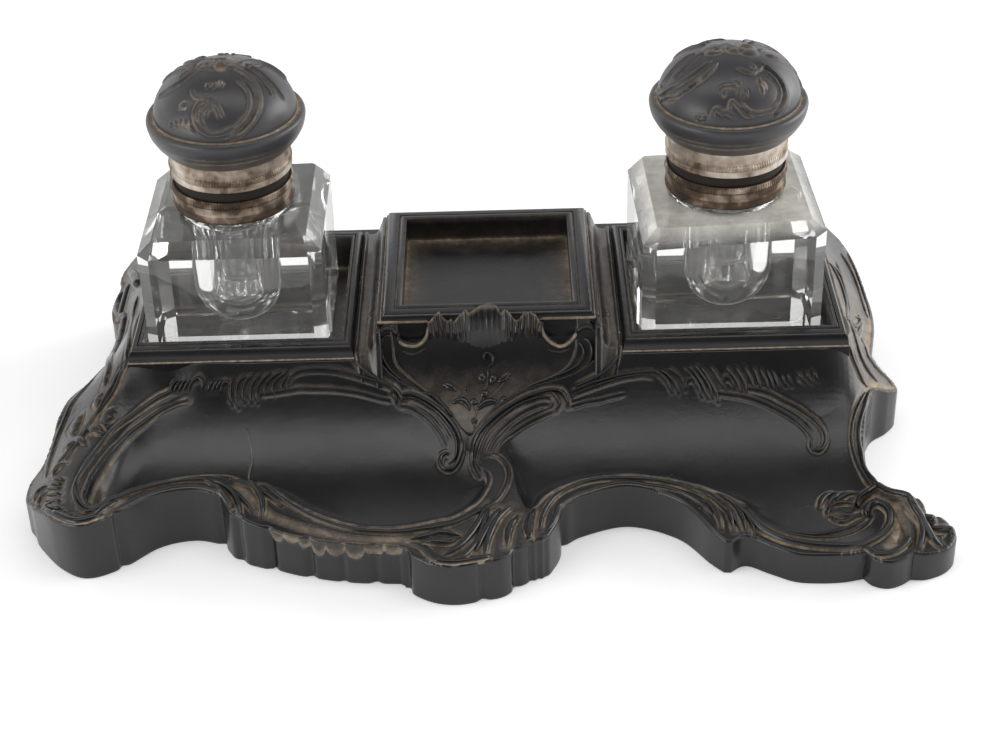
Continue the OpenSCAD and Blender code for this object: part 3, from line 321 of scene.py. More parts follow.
# Curves of the lids: kind (r raised, g groove, l leaf), width, height and places in plan
DOME_L = [
    ("r", 1.3, 0.75, [(-0.9, -2.6), (1.8, -2.2), (3.9, -2.6), (6.1, -3.7), (8, -5.1), (9.7, -7),
     (10.8, -9.3), (11.2, -11.2), (11, -13), (10.1, -14.8), (9, -16.2), (7.5, -17.4), (5.9, -18.3),
     (4, -18.9), (2.4, -19.2)]),
    ("r", 0.9, 0.6, [(4.8, -7.7), (6.7, -8.9), (8.1, -10.6), (8.6, -12.4), (8.6, -13.9), (8.1, -15.4),
     (6.8, -16.7), (5.3, -17.8), (3.4, -18.5), (1.3, -19), (-1.1, -19.1), (-2.9, -18.8), (-4.5, -18.2),
     (-5.5, -17.4), (-6, -16.5), (-6, -15.5), (-5.4, -14.5), (-4.4, -13.8), (-2.8, -13.5)]),
    ("g", 1.6, 0.5, [(6.8, -6.4), (8.7, -8.5), (9.7, -10.7), (9.9, -12.8), (9.2, -14.8), (8.1, -16.4),
     (6.2, -17.8), (4.1, -18.7)]),
    ("r", 0.7, 0.45, [(-7, -9.4), (-6.4, -11.4), (-5.2, -12.5), (-3, -13.2), (-0.9, -13.8)]),
    ("r", 0.6, 0.4, [(-0.9, -13.9), (-0.6, -15.2), (0.2, -16.4), (0.7, -17.6)]),
    ("r", 0.6, 0.35, [(0.7, -14.8), (1.2, -16), (2, -17.4)]),
    ("r", 0.7, 0.4, [(-3.2, -15.2), (-4.9, -16), (-5.5, -17.1), (-4.7, -18)]),
    ("r", 0.6, 0.35, [(-2.2, -14.9), (-3.8, -15.8), (-4.4, -17), (-3.6, -18.1)]),
    ("r", 0.6, 0.35, [(-1.1, -15), (-2.4, -16), (-3, -17.1)]),
    ("l", 2.0, 0.5, [(-10.2, -13.2), (-9.1, -13), (-7.7, -13.1)]),
    ("l", 2.0, 0.45, [(-12.4, -14.6), (-12.7, -14.1), (-12.9, -13.6)]),
    ("l", 1.6, 0.45, [(-10.6, -15.8), (-11.1, -15), (-11.4, -14.4)]),
    ("l", 1.6, 0.4, [(-8.9, -16.7), (-9.7, -15.7), (-9.9, -15.1)]),
    ("l", 1.8, 0.5, [(-7.5, -17.5), (-8.3, -16.6), (-8.5, -15.6)]),
    ("l", 1.8, 0.45, [(-5.7, -18.3), (-6.9, -17.4), (-7.4, -16.3)]),
    ("r", 1.4, 0.8, [(-4.7, 0.7), (-6.3, -2), (-8.6, -4.1), (-11, -5.4), (-13.8, -5.5), (-16.7, -4.3)]),
    ("r", 0.9, 0.5, [(-6.7, 1.2), (-8.6, -1.1), (-10.7, -3.1)]),
    ("l", 1.2, 0.5, [(-2.9, -10.5), (-2.4, -9.3), (-1.7, -8.4)]),
    ("l", 1.2, 0.5, [(-1, -10.7), (-0.6, -9.5), (-0.1, -8.2)]),
    ("l", 1.2, 0.5, [(0.3, -10.2), (0.5, -9.2), (0.6, -7.8)]),
    ("l", 1.2, 0.5, [(1.6, -10.2), (1.3, -9.2), (1.2, -7.8)]),
    ("r", 1.0, 0.6, [(7, 1.2), (9.4, -0.4), (11.6, -1.9), (13.7, -3.5), (15.6, -4.9), (17, -5.7)]),
    ("r", 0.8, 0.5, [(6.1, -1.1), (8.6, -2.6), (10.8, -4.4), (12.7, -6.5), (14, -7.9)])
]
DOME_R = [
    ("r", 1.3, 0.75, [(-5.5, -5.3), (-8, -6.7), (-10.4, -7.8), (-13, -8), (-15.8, -7.1), (-18.5, -4.3),
     (-19.4, 0.9)]),
    ("r", 1.1, 0.6, [(-4, -6.6), (-6.1, -8.9), (-8.2, -10.2), (-10.6, -10.8), (-13.5, -10.7),
     (-16.2, -9.3), (-18.7, -5)]),
    ("g", 1.0, 0.5, [(-8.2, -9.6), (-10.1, -10.6), (-12.4, -10.9), (-15.2, -9.9), (-18.1, -6.7)]),
    ("r", 1.2, 0.7, [(6.4, -5.5), (9, -6.8), (11.3, -8.2), (12.8, -9.7), (13.8, -11.2), (13.4, -13),
     (12.2, -14.7), (10.5, -16.2)]),
    ("r", 0.9, 0.6, [(8.3, -8.5), (10.3, -9.7), (11.7, -11), (12.2, -12.4), (11.6, -14.1), (10.2, -15.8),
     (8.2, -17), (6, -17.9), (4.1, -18.2), (2.5, -18), (1.5, -17.3)]),
    ("g", 1.4, 0.45, [(7.7, -6.6), (10.2, -8.2), (12.2, -9.9), (12.9, -11.7), (12.5, -13.6),
     (10.7, -15.7)]),
    ("l", 1.4, 0.5, [(-0.3, -12.8), (0.9, -13.3), (2.2, -13.3)]),
    ("r", 0.7, 0.4, [(-4.4, -14.4), (-3.1, -14), (-1.5, -14), (0.3, -14.3)]),
    ("l", 1.2, 0.4, [(-3.9, -15.3), (-3.2, -15.5), (-2.6, -15.2)]),
    ("r", 0.6, 0.45, [(2.7, -14.4), (3, -15.4), (2.8, -16.4)]),
    ("r", 0.6, 0.45, [(1.6, -14.7), (1.8, -15.7), (1.6, -16.4)]),
    ("r", 0.6, 0.35, [(0.6, -14.7), (0.6, -15.6), (0.5, -16.1)]),
    ("l", 1.6, 0.55, [(6.4, -11), (6.8, -12.9), (7.4, -15)]),
    ("l", 1.6, 0.5, [(7.2, -11.8), (7.9, -13), (8.1, -13.8)]),
    ("l", 1.4, 0.5, [(4.7, -6.8), (5.4, -8.1), (5.5, -9.4)]),
    ("r", 0.8, 0.5, [(3.6, -9.8), (5.2, -9.8), (7, -8.3), (8, -6.5)]),
    ("r", 0.8, 0.45, [(0.5, -8.7), (2.8, -9.9), (5.4, -10.4)]),
    ("r", 0.9, 0.6, [(-6.6, -17.9), (-6.1, -17.6), (-5.3, -17.5), (-4.6, -17.8), (-3.8, -18.3),
     (-2.8, -18.3), (-1.7, -18.7), (-0.2, -19.1)]),
    ("r", 0.9, 0.6, [(-2, -18.3), (-1.7, -17.6), (-1.2, -17.1), (-0.4, -17.4), (0.6, -18), (1.7, -18.5),
     (2.7, -18.7), (4.6, -18.5)]),
    ("l", 1.6, 0.5, [(-9.1, -16.9), (-8.4, -17.3), (-7.9, -17.6)]),
    ("l", 1.6, 0.45, [(-10.4, -16.1), (-9.6, -16.7), (-9.1, -17.1)]),
    ("r", 1.0, 0.6, [(-9.7, 1), (-12.1, 0.5), (-14.6, -0.6), (-16.8, -1.8), (-18.6, -2.2)]),
    ("r", 0.8, 0.45, [(-7.4, -0.4), (-10.3, -2.6), (-13, -4.1), (-15.7, -4.9)])
]

# Curves of the apron: place across, and length down it
APRON_VEE = [(-26.2, 7.4), (-26, 9.6), (-24.9, 12.1), (-23.1, 14), (-20.9, 16), (-18.5, 18),
    (-15.8, 20.4), (-13.3, 22.7), (-11.2, 25.4), (-9.3, 28.1), (-7.7, 30.6), (-6.6, 31.7), (-5.5, 32),
    (-4.4, 31.5), (-3.1, 29.8), (-1.4, 27.4), (0.6, 25.1), (2.8, 23.1), (4.5, 21.9), (6.4, 20.8),
    (9.5, 19.2), (12.5, 17.7), (16.1, 16.4), (19.4, 14.8), (22, 12.7), (23.4, 10.3), (24.3, 7.5),
    (23.8, 5.9)]
APRON_CC_L1 = [(-25, 4.1), (-25.5, 2.4), (-26.8, 1.4), (-28.5, 1.6), (-30.2, 3.1), (-30.9, 5.3),
    (-30.9, 7.8), (-30.1, 10.6), (-28.8, 13.1), (-26.9, 15.3), (-24.5, 17.3), (-21.8, 18.9)]
APRON_CC_L2 = [(-25.8, 4.6), (-26.9, 3.5), (-28, 3.5), (-29.1, 4.5), (-29.6, 6.4), (-29.4, 8.7),
    (-28.3, 11), (-26.9, 13.1), (-24.7, 15.2), (-22.3, 17.2)]
APRON_CC_R1 = [(24.4, 4.2), (25.2, 2.9), (26.9, 2.2), (28.5, 2.7), (29.9, 4.4), (30.6, 6.9), (30.8, 9.4)]
APRON_CC_R2 = [(26, 5.4), (27.6, 6.3), (28.4, 8.2), (28.3, 10.4), (27.2, 12.6), (24.9, 14.4), (22.2, 16),
    (19.4, 17.3), (16, 18.7), (12.5, 19.7)]
APRON_CC_R3 = [(24.3, 6.2), (25.7, 7.6), (26.2, 9.5), (25.3, 11.7), (23.6, 13.3), (21.1, 14.6),
    (18.3, 15.8)]
APRON_LUNE_L = [(-24.7, 4.9), (-23.4, 5.9), (-21.5, 6.5), (-19.6, 6.4), (-17.9, 5.4), (-16.7, 3.5),
    (-16.1, 1)]
APRON_LUNE_R = [(14.6, 1.5), (15.1, 3.7), (16.4, 5.7), (18.3, 7.1), (19.6, 7.6), (21.3, 7.2), (23, 5.9),
    (24.4, 4)]
APRON_LUNE_L2 = [(-23.7, 7.7), (-21.6, 8.6), (-19.4, 8.4), (-16.8, 7)]
APRON_LUNE_R2 = [(16.3, 8.2), (18.2, 9), (20.1, 9.1), (22.4, 8.3)]
APRON_BUD = [(-0.8, 12.9), (0.3, 12.4), (1.2, 11.1), (0.9, 9.7), (-0.2, 8.8), (-1, 9.1), (-1.3, 10.2),
    (-0.8, 11)]
APRON_STEMS = [
    [(-4.4, 31.3), (-4.1, 27.6), (-3.2, 24.1), (-2.1, 20.7), (-0.6, 17.4), (-0.3, 13.5)],
    [(-3.8, 25.9), (-5.4, 22.3), (-7.5, 20.3)],
    [(-3, 24.1), (0.1, 21.4), (2.9, 18.6), (4.3, 16.7)]
]
APRON_LEAVES = [
    [(-13.2, 17.6), (-11.9, 17.4), (-10.2, 18.3), (-8.9, 19.4)],
    [(-6.4, 19.2), (-6.1, 18.1)],
    [(-10.3, 22.8), (-8.9, 22), (-7.3, 22), (-6, 23.5), (-5.4, 25)],
    [(-3.5, 25), (-2.4, 23.6), (-0.7, 22.5), (1.2, 22.5), (2.8, 24)],
    [(2.1, 17.2), (3.8, 16.1), (5.2, 14.8), (6.3, 15.1)],
    [(-1.4, 13.8), (-2, 15.4), (-1.5, 17.4)],
    [(0.5, 14.4), (1, 16), (0.2, 17.7)],
    [(-5.4, 23.2), (-4.6, 22.4), (-3.2, 23)],
    [(-4.9, 28.8), (-4.1, 27.9), (-3.3, 28)],
    [(2.8, 22.9), (3.9, 22), (4.7, 23.2)],
    [(-2.4, 21.3), (-1.2, 19.9), (-0.1, 19.4)]
]
SHELL_TOP = [(-15.8, 17), (-14.9, 17.3), (-13.5, 18.9), (-12.7, 19.5), (-11.6, 18), (-10.3, 17.1),
    (-9.5, 17.7), (-8.9, 16.6), (-8.1, 17.7), (-6.7, 19), (-5.6, 19.9), (-4.8, 19), (-3.4, 19.8),
    (-2, 20.9), (0.7, 21.9), (2.4, 20.7), (3.4, 18.8), (4.5, 19.6), (5.6, 19), (6.7, 17.5), (7.5, 16.7),
    (8.3, 17.2), (9.4, 18.6), (11.1, 18.9), (12.5, 18.2), (13.5, 16.5), (14.6, 16)]
SHELL_FLUTES = [-14.8, -13.1, -11.5, -9.8, -8.2, -6.5, -5.2, -3.7, -2.2, -0.6, 1.0, 2.5, 3.9, 5.5, 6.9,
    8.5, 10.1, 11.8, 13.2]

# ---------------------------------------------------------------- curves and fields

def smooth(points, step=0.5):
    """Dense smooth curve through the points, one sample about every step."""
    p = np.asarray(points, float)
    if len(p) == 2:
        n = max(2, int(np.linalg.norm(p[1] - p[0]) / step))
        return p[0] + (p[1] - p[0]) * np.linspace(0, 1, n)[:, None]
    ext = np.vstack([2 * p[0] - p[1], p, 2 * p[-1] - p[-2]])
    out = []
    for i in range(len(p) - 1):
        a, b, c, d = ext[i:i + 4]
        n = max(2, int(np.linalg.norm(c - b) / step))
        t = np.linspace(0, 1, n, endpoint=False)[:, None]
        out.append(0.5 * (2 * b + (c - a) * t + (2 * a - 5 * b + 4 * c - d) * t ** 2
                          + (3 * b - a - 3 * c + d) * t ** 3))
    out.append(p[-1:])
    return np.vstack(out)


def run_length(path):
    """Length along a path at each of its points."""
    return np.concatenate([[0], np.cumsum(np.linalg.norm(np.diff(path, axis=0), axis=1))])


def nearest_on(path, pts):
    """Distance of each point to a path, and the nearest place on it."""
    a = path[:-1]
    ab = path[1:] - a
    l2 = np.maximum((ab ** 2).sum(1), 1e-12)
    dist = np.empty(len(pts))
    foot = np.empty((len(pts), 2))
    size = max(1, 2_000_000 // len(a))
    for i in range(0, len(pts), size):
        part = pts[i:i + size]
        rel = part[:, None] - a[None]
        t = np.clip((rel * ab).sum(-1) / l2, 0, 1)
        gap2 = ((rel - t[..., None] * ab) ** 2).sum(-1)
        k = gap2.argmin(1)
        j = np.arange(len(part))
        dist[i:i + size] = np.sqrt(gap2[j, k])
        foot[i:i + size] = a[k] + t[j, k][:, None] * ab[k]
    return dist, foot


def filled(loop, xs, ys):
    """Which points of a grid lie inside a closed loop."""
    a, b = loop, np.roll(loop, -1, 0)
    out = np.zeros((len(xs), len(ys)), bool)
    for i, x in enumerate(xs):
        k = (a[:, 0] > x) != (b[:, 0] > x)
        cuts = a[k, 1] + (x - a[k, 0]) / (b[k, 0] - a[k, 0]) * (b[k, 1] - a[k, 1])
        out[i] = np.searchsorted(np.sort(cuts), ys) % 2 == 1
    return out


def outline_loop(step=0.5):
    return np.vstack([smooth(run, step)[:-1] for run in OUTLINE])


# Section of the slope: its radius, the troughs' lowest line, and the deck behind it
SLOPE_R = 55.8509
TROUGH_Y = -78.0
TROUGH_Z = 8.5
DECK_Z = 32.0
DECK_FRONT = -33.2


def slope(y):
    """Height of the concave slope that runs from the deck down to the troughs."""
    run = np.clip(y - TROUGH_Y, 0, SLOPE_R - 1)
    return np.where(y > DECK_FRONT, DECK_Z - 0.5, TROUGH_Z + SLOPE_R - np.sqrt(SLOPE_R ** 2 - run ** 2))


def plate(r2):
    """Bending of a thin plate at the square of a distance."""
    return np.where(r2 > 1e-12, 0.5 * r2 * np.log(np.maximum(r2, 1e-12)), 0)


def border_surface(pts):
    """Smooth surface through the known heights of rims and beads, and through the slope behind them."""
    spots = list(HEIGHTS)
    for x in [*range(-80, -30, 10), *range(-28, 30, 7), *range(30, 95, 10)]:
        for y in (-33.3, -38, -44):
            if not (-14 < x < 12 and y < -40):
                spots.append((x, y, float(slope(np.array(y)))))
    for y in (-50, -57):
        spots.append((97, y, float(slope(np.array(y))) + 0.3))
    spots = np.array(spots, float)
    scale = 60.0
    p = spots[:, :2] / scale
    n = len(p)
    m = np.zeros((n + 3, n + 3))
    m[:n, :n] = plate(((p[:, None] - p[None]) ** 2).sum(-1)) + np.eye(n) * 2e-4
    m[:n, n] = m[n, :n] = 1
    m[:n, n + 1:] = p
    m[n + 1:, :n] = p.T
    w = np.linalg.solve(m, np.concatenate([spots[:, 2], [0, 0, 0]]))
    q = pts / scale
    z = np.empty(len(q))
    for i in range(0, len(q), 20000):
        part = q[i:i + 20000]
        z[i:i + 20000] = plate(((part[:, None] - p) ** 2).sum(-1)) @ w[:n] + w[n] + part @ w[n + 1:]
    return z


class Field:
    """Heights of the stand's top on a square grid, with the dust that lies on it."""

    def __init__(self, low, high, step):
        self.low = np.asarray(low, float)
        self.step = step
        self.xs = np.arange(low[0], high[0], step)
        self.ys = np.arange(low[1], high[1], step)
        self.gx, self.gy = np.meshgrid(self.xs, self.ys, indexing="ij")
        self.z = np.zeros(self.gx.shape)
        self.dust = np.zeros(self.gx.shape)
        self.base = self.z

    def near(self, path, reach):
        """Cells within reach of a dense path: flat index, distance, and index of the nearest sample."""
        r = int(reach / self.step) + 1
        off = np.arange(-r, r + 1)
        oi, oj = (a.ravel() for a in np.meshgrid(off, off, indexing="ij"))
        ci = np.rint((path - self.low) / self.step).astype(int)
        i = ci[:, :1] + oi
        j = ci[:, 1:] + oj
        nx, ny = self.z.shape
        dx = self.low[0] + i * self.step - path[:, :1]
        dy = self.low[1] + j * self.step - path[:, 1:]
        d2 = dx * dx + dy * dy
        ok = (i >= 0) & (i < nx) & (j >= 0) & (j < ny) & (d2 < reach * reach)
        flat = (i * ny + j)[ok]
        sample = np.broadcast_to(np.arange(len(path))[:, None], ok.shape)[ok]
        d2 = d2[ok]
        order = np.argsort(-d2)
        best = np.full(self.z.size, -1)
        dist = np.zeros(self.z.size)
        best[flat[order]] = sample[order]
        dist[flat[order]] = np.sqrt(d2[order])
        idx = np.flatnonzero(best >= 0)
        return idx, dist[idx], best[idx]

    def sample(self, grid, pts):
        """Values of a grid between its points."""
        g = (np.asarray(pts) - self.low) / self.step
        i = np.clip(g[:, 0].astype(int), 0, grid.shape[0] - 2)
        j = np.clip(g[:, 1].astype(int), 0, grid.shape[1] - 2)
        u, v = np.clip(g[:, 0] - i, 0, 1), np.clip(g[:, 1] - j, 0, 1)
        return ((1 - u) * (1 - v) * grid[i, j] + u * (1 - v) * grid[i + 1, j]
                + (1 - u) * v * grid[i, j + 1] + u * v * grid[i + 1, j + 1])

    def lift(self, pts):
        """Points of the plan raised onto the base surface, with the surface's normals there."""
        pts = np.asarray(pts, float)
        z = self.sample(self.base, pts)
        e = 0.9
        gx = (self.sample(self.base, pts + (e, 0)) - self.sample(self.base, pts - (e, 0))) / (2 * e)
        gy = (self.sample(self.base, pts + (0, e)) - self.sample(self.base, pts - (0, e))) / (2 * e)
        gx, gy = np.clip(gx, -0.9, 0.9), np.clip(gy, -0.9, 0.9)
        normal = np.stack([-gx, -gy, np.ones(len(pts))], 1)
        return np.column_stack([pts, z]), normal / np.linalg.norm(normal, axis=1)[:, None]

    def within(self, pts, margin):
        """Points moved inwards where they lie closer to the outline than the margin."""
        pts = np.array(pts, float)
        e = self.step
        for _ in range(3):
            d = self.sample(self.depth, pts)
            gx = self.sample(self.depth, pts + (e, 0)) - self.sample(self.depth, pts - (e, 0))
            gy = self.sample(self.depth, pts + (0, e)) - self.sample(self.depth, pts - (0, e))
            g = np.stack([gx, gy], 1)
            g /= np.maximum(np.linalg.norm(g, axis=1), 1e-6)[:, None]
            pts += g * np.clip(margin - d, 0, 6)[:, None]
        return pts

    def change(self, curve, width, depth, dust=0.0, ends=2.0, power=1.0):
        """Hollow (or, with a negative depth, swelling) along a curve."""
        path = smooth(curve, 0.15)
        idx, dist, k = self.near(path, width * 0.5 + 0.3)
        run = run_length(path)
        along, total = run[k], run[-1]
        taper = np.clip(np.minimum(along, total - along) / max(ends, 0.01), 0, 1) ** 0.6
        t = np.clip(dist / (width * 0.5), 0, 1)
        shape = (1 - t ** 2) ** power * taper * np.clip((self.depth.reshape(-1)[idx] - 0.9) / 1.5, 0, 1)
        z = self.z.reshape(-1)
        z[idx] = np.where(shape > 0, z[idx] - depth * shape, z[idx])
        if dust:
            d = self.dust.reshape(-1)
            d[idx] = np.maximum(d[idx], dust * shape)

    def soil(self, curve, width, dust):
        """Dust along a curve, which fades to nothing at the width from it."""
        path = smooth(curve, 0.3)
        idx, dist, _ = self.near(path, width)
        d = self.dust.reshape(-1)
        d[idx] = np.maximum(d[idx], dust * (1 - (dist / width) ** 2))


def tray_loops():
    """Inner edges of the two pen troughs, as closed loops."""
    left = TRAY_L_IN + [(-6, -56), (-13, -49), (-20, -44), TRAY_L_IN[0]]
    right = (MOULD_R3 + [(40, -40.5), (60, -41.5)] + CS_R2[:-2] + [(92, -47), (95, -45)] + SIDE_R1[2:]
             + [(100, -74), (95.5, -77), (93, -83), (88, -88)] + BOWL_R1[8:0:-1] + ARCH_R1[18:1:-1]
             + [(9, -78), (7, -70), (6, -62), (5, -55), (7, -47), MOULD_R3[0]])
    return smooth(left, 0.3), smooth(right, 0.3)


EDGE_REACH = 10.0  # how far from the outline the depth inside it is known
TRAY_EDGE = 7.0  # width of the rounded edge of a pen trough
# Where the top stays low under the front bars of the well frames: from x to x, back edge, and height
UNDER_BARS = (36.9, 98.7, -28.0, 30.5)


def base_field():
    """The stand's top before any relief."""
    loop = outline_loop()
    field = Field(loop.min(0) - 2, loop.max(0) + 2, GRID_STEP)
    coarse = Field(field.low, loop.max(0) + 4, 1.5)
    coarse.z = border_surface(np.stack([coarse.gx.ravel(), coarse.gy.ravel()], 1)).reshape(coarse.gx.shape)
    pts = np.stack([field.gx.ravel(), field.gy.ravel()], 1)
    border = np.clip(coarse.sample(coarse.z, pts), 7.5, DECK_Z - 0.4)
    low = slope(pts[:, 1])
    z = border.copy()
    for edge in tray_loops():
        within = filled(edge, field.xs, field.ys).ravel()
        idx, dist, _ = field.near(edge, TRAY_EDGE)
        away = np.ones(len(pts))
        away[idx] = dist / TRAY_EDGE
        fall = 1 - np.sqrt(np.clip(1 - (1 - away) ** 2, 0, 1))
        z = np.where(within, low + (border - low) * fall, z)
    x, y = np.abs(pts[:, 0]), pts[:, 1]
    x0, x1, back, height = UNDER_BARS
    under = (x > x0) & (x < x1) & (y > DECK_FRONT - 0.1) & (y < back)
    z[under] = np.minimum(z[under], height)
    field.z = z.reshape(field.gx.shape)
    field.base = field.z.copy()
    depth = np.where(filled(loop, field.xs, field.ys).ravel(), EDGE_REACH, -EDGE_REACH)
    idx, dist, _ = field.near(smooth_loop(loop, 0.4), EDGE_REACH)
    depth[idx] = np.sign(depth[idx]) * dist
    field.depth = depth.reshape(field.gx.shape)
    return field


# ---------------------------------------------------------------- mesh helpers

def make_mesh(name, verts, faces, **layers):
    """Mesh from points in millimetres of the drawing; faces is one array or several of different widths."""
    parts = [faces] if isinstance(faces, np.ndarray) else faces
    mesh = bpy.data.meshes.new(name)
    counts = np.concatenate([np.full(len(f), f.shape[1]) for f in parts])
    flat = np.concatenate([f.ravel() for f in parts])
    mesh.vertices.add(len(verts))
    mesh.vertices.foreach_set("co", ((verts + SHIFT) * MM).astype(np.float32).ravel())
    mesh.loops.add(len(flat))
    mesh.loops.foreach_set("vertex_index", flat.astype(np.int32))
    mesh.polygons.add(len(counts))
    mesh.polygons.foreach_set("loop_start", np.concatenate([[0], np.cumsum(counts)[:-1]]).astype(np.int32))
    mesh.polygons.foreach_set("loop_total", counts.astype(np.int32))
    mesh.update(calc_edges=True)
    mesh.validate(clean_customdata=False)
    mesh.polygons.foreach_set("use_smooth", np.full(len(mesh.polygons), True))
    for key, values in layers.items():
        layer = mesh.attributes.new(key, "FLOAT", "POINT")
        layer.data.foreach_set("value", np.asarray(values, np.float32))
    obj = bpy.data.objects.new(name, mesh)
    bpy.context.scene.collection.objects.link(obj)
    return obj


def loft(rows, closed=True):
    """Quads between successive rings or rows of equal length, as points and faces."""
    rows = np.asarray(rows, float)
    n, m = rows.shape[:2]
    k = np.arange(m if closed else m - 1)
    after = (k + 1) % m
    one = np.stack([k, after, m + after, m + k], 1)
    return rows.reshape(-1, rows.shape[2]), np.vstack([one + i * m for i in range(n - 1)])


def fan(middle, first, count, upward=False):
    """Triangles between a middle point and a ring of points that starts at first."""
    k = np.arange(count)
    a, b = first + k, first + (k + 1) % count
    return np.stack([np.full(count, middle), *((a, b) if upward else (b, a))], 1)


def swelling(run, total, swell):
    """Share of a bead's width at places along it."""
    if swell is None:
        return np.ones(len(run))
    return np.interp(run / total, np.linspace(0, 1, len(swell)), swell)


GUTTER = 0.3  # depth of the groove on each side of a bead


class Beads:
    """Rounded mouldings swept along curves that lie on a surface."""

    ARC = np.radians(np.linspace(0, 180, 9))

    def __init__(self):
        self.verts, self.quads, self.tris, self.dust, self.count = [], [], [], [], 0

    def sweep(self, path, normal, width, height, ends=2.0, swell=None, dust=0.0, sink=1.1, foot=0.6):
        """One bead: rounded above, sunk into the surface below, and dusty along its foot."""
        run = run_length(path)
        total = run[-1]
        taper = np.clip(np.minimum(run, total - run) / max(ends, 0.01), 0, 1) ** 0.55
        taper = 0.08 + 0.92 * taper
        grow = swelling(run, total, swell)
        half = width * 0.5 * grow * taper
        tall = height * (0.35 + 0.65 * np.minimum(grow, 1.2)) * taper
        tangent = np.gradient(path, axis=0)
        tangent /= np.maximum(np.linalg.norm(tangent, axis=1), 1e-9)[:, None]
        side = np.cross(tangent, normal)
        side /= np.maximum(np.linalg.norm(side, axis=1), 1e-9)[:, None]
        across = np.concatenate([[1.0], np.cos(self.ARC), [-1.0]])
        above = np.concatenate([[0.0], np.sin(self.ARC), [0.0]])
        below = np.concatenate([[-1.0], np.zeros(len(self.ARC)), [-1.0]])
        rings = (path[:, None] + side[:, None] * (half[:, None] * across)[..., None]
                 + normal[:, None] * (tall[:, None] * above + sink * below)[..., None])
        verts, quads = loft(rings)
        m = rings.shape[1]
        heads = np.stack([rings[0].mean(0), rings[-1].mean(0)])
        start = fan(len(verts), 0, m)
        stop = fan(len(verts) + 1, len(verts) - m, m, True)
        level = np.concatenate([[1.0], 1 - np.sin(self.ARC), [1.0]]) ** 2
        tone = np.broadcast_to((0.25 + 0.7 * foot) * level ** 2 + dust, rings.shape[:2])
        self.verts.append(np.vstack([verts, heads]))
        self.quads.append(quads + self.count)
        self.tris.append(np.vstack([start, stop]) + self.count)
        self.dust.append(np.concatenate([tone.ravel(), [0.5, 0.5]]))
        self.count += len(verts) + 2

    def lay(self, field, curve, width, height, ends=3.0, swell=None, dust=0.0, foot=0.5):
        """Bead on the stand's top, kept inside the outline, with its gutters."""
        dense = field.within(smooth(curve, 0.15), width * 0.5 + 0.35)
        path = dense[np.unique(np.append(np.arange(0, len(dense), 2), len(dense) - 1))]
        lifted, normal = field.lift(path)
        kernel = np.ones(7) / 7
        for arr in (lifted[:, 2:], normal):
            for c in range(arr.shape[1]):
                padded = np.pad(arr[:, c], 3, mode="edge")
                arr[:, c] = np.convolve(padded, kernel, "valid")
        normal /= np.linalg.norm(normal, axis=1)[:, None]
        self.sweep(lifted, normal, width, height, ends, swell, dust, foot=foot)
        self.gutter(field, dense, width, swell, foot)

    def gutter(self, field, dense, width, swell, foot):
        """Fine dusty grooves in the stand's top along both sides of a bead."""
        idx, dist, k = field.near(dense, width * 0.5 + 1.2)
        run = run_length(dense)
        grow = swelling(run[k], run[-1], swell)
        taper = np.clip(np.minimum(run[k], run[-1] - run[k]) / 2 + 0.3, 0, 1)
        edge = np.abs(dist - width * 0.5 * grow - 0.2)
        line = np.exp(-(edge / 0.3) ** 2) * taper
        z, d = field.z.reshape(-1), field.dust.reshape(-1)
        z[idx] = np.minimum(z[idx], field.base.reshape(-1)[idx] - GUTTER * line)
        d[idx] = np.maximum(d[idx], min(0.9, foot * 1.15) * line)

    def mesh(self, name):
        faces = [np.vstack(self.quads), np.vstack(self.tris)]
        return make_mesh(name, np.vstack(self.verts), faces, dust=np.concatenate(self.dust))


# ---------------------------------------------------------------- relief of the stand

SOFT = {"swell": (0.6, 1, 0.7)}
BLUNT = {"ends": 1.5}
LEAF = {"ends": 1.5, "swell": (0.45, 1, 0.6), "dust": 0.12}
# Beads of the stand's top, in the order in which they are laid: width, height, dust at the foot, curves
TRAY_BEADS = [
    (1.2, 0.7, 0.6, [TRAY_L_OUT]),
    (1.0, 0.5, 0.3, [INNER_L])
]
BORDER_BEADS = [
    (1.3, 0.8, 0.5, [FRONT_L_OUT]),
    (1.6, 0.6, 0.2, [RIM_L]),
    (2.2, 1.2, 0.9, [FOOT_L_IN]),
    (1.6, 0.9, 0.8, [FOOT_L_OUT]),
    (1.8, 1.3, 0.7, [WAVE_L0, WAVE_L1, WAVE_L2, WAVE_T3], SOFT),
    (1.3, 0.8, 0.6, [WAVE_T1, WAVE_T2]),
    # Centre: S-scrolls, mouldings and knots
    (1.3, 1.2, 0.4, [SS_L1, SS_R1]),
    (0.9, 0.8, 0.35, [SS_L2, SS_R2, SS_L3, SS_R3, SS_R4]),
    (0.9, 0.7, 0.2, [MOULD_L1, MOULD_R1]),
    (0.7, 0.5, 0.2, [MOULD_R2, MOULD_R3]),
    (1.2, 0.9, 0.4, [FLARE_L, FLARE_R]),
    (1.3, 1.3, 0.6, [KNOT_L1, KNOT_L2, KNOT_R1, KNOT_R2], BLUNT),
    # Right: C-scroll, side beads, arch and corner
    (1.1, 0.9, 0.5, [CS_R1]),
    (0.9, 0.7, 0.3, [CS_R2]),
    (1.1, 0.8, 0.6, [SIDE_R1]),
    (1.2, 0.8, 0.4, [SIDE_R2]),
    (1.1, 0.8, 0.6, [ARCH_R1]),
    (1.3, 0.8, 0.8, [ARCH_R2]),
    (1.5, 0.6, 0.3, [ARCH_R3]),
    (1.0, 0.7, 0.5, [ARCH_R4]),
    (1.4, 1.1, 0.7, [WAVE_R1, WAVE_R2, WAVE_R3, ARCH_W1, ARCH_W2], SOFT)
]
